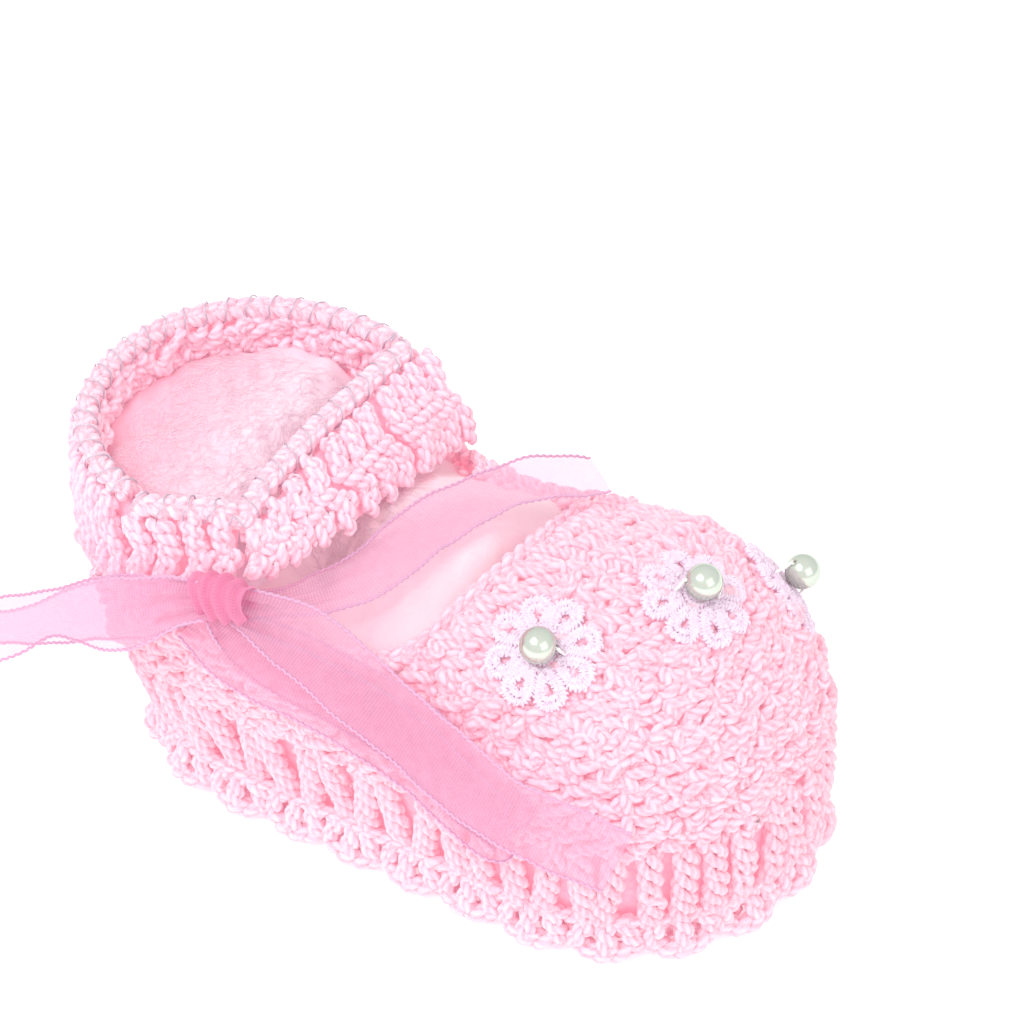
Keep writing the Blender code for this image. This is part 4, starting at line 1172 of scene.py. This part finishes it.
def ribbons():
    loop_ends = (0, 0.05, 0.12, 0.9, 0.97, 1)
    ribbon("ribbon_loop_left", LOOP_LEFT, (loop_ends, (0.5, 0.7, 1, 1, 0.7, 0.5)))
    ribbon("ribbon_loop_right", LOOP_RIGHT, (loop_ends, (0.7, 0.9, 1, 1, 0.7, 0.5)), ruffle=0.15)
    ribbon("ribbon_tail_side", TAIL_SIDE, ((0, 0.05, 0.16, 1), (0.45, 0.6, 1, 1)))
    ribbon("ribbon_tail_instep", TAIL_INSTEP, ((0, 0.1, 0.25, 0.38, 1), (0.42, 0.5, 0.8, 1, 1)))


def ribbon_knot():
    """One turn of ribbon round the knot, its width gathered into pleats."""
    low, high = (np.array(v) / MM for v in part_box("ribbon_knot"))
    half = (high - low) / 2
    u = np.linspace(0, 2 * math.pi, 73)[None, :-1]
    v = np.linspace(-1, 1, 71)[:, None]
    pleat = 0.36 * np.sin(13.0 * v + 1.7 * np.sin(u + 0.6) + 0.5 * np.sin(3 * u))
    size = 1.0 - 0.30 * v * v
    grid = (low + high) / 2 + np.stack([half[0] * 0.88 * v + 0.35 * np.sin(u * 2 + 1.0),
                                        (half[1] * size + pleat) * np.cos(u),
                                        (half[2] * 0.92 * size + pleat) * np.sin(u)], -1)
    knot = grid_piece("ribbon_knot_wrap", grid, GATHER, ROOT, closed=True)
    set_layer(knot.data, "strand", np.stack(np.broadcast_arrays(u * 3.0, v * 5.0, 0.0), -1))
    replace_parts(knot, "ribbon_knot")


# ---- floor and light ----
def floor():
    mesh = bpy.data.meshes.new("floor")
    s = 3.0
    mesh.from_pydata([(-s, -s, 0), (s, -s, 0), (s, s, 0), (-s, s, 0)], [], [(0, 1, 2, 3)])
    obj = bpy.data.objects.new("floor", mesh)
    SCENE.collection.objects.link(obj)
    mat, nt, out = new_material("pale_floor")
    bsdf = shader_node(nt, "BsdfPrincipled", Base_Color=(0.95, 0.945, 0.945, 1), Roughness=0.9,
                       Emission_Color=(1, 1, 1, 1), Emission_Strength=0.3, Specular_IOR_Level=0.1)
    link(nt, bsdf.outputs[0], out.inputs[0])
    mesh.materials.append(mat)


def soft_light(name, at, target, size, power):
    data = bpy.data.lights.new(name, "AREA")
    data.size, data.energy = size, power
    aimed_object(name, data, at, Vector(target) - Vector(at))


def studio():
    world = bpy.data.worlds.new("studio")
    SCENE.world = world
    world.use_nodes = True
    background = world.node_tree.nodes["Background"]
    background.inputs[0].default_value = (1.0, 0.985, 0.98, 1)
    background.inputs[1].default_value = 0.95
    soft_light("key", (-0.25, -0.35, 0.75), (0, 0, 0.02), 0.45, 2.4)
    soft_light("glint", (-0.05, -0.45, 0.7), (0, 0, 0.03), 0.11, 0.9)
    soft_light("fill", (0.7, -0.3, 0.5), (0, 0, 0.02), 0.7, 1.1)
    SCENE.view_settings.view_transform = "Standard"


side_wall()
toe_cap()
heel_quarter()
collar()
rims()
scallops()
sole()
wadding()
ankle_wadding()
wadding_fibres()
flowers()
ribbons()
ribbon_knot()
floor()
studio()
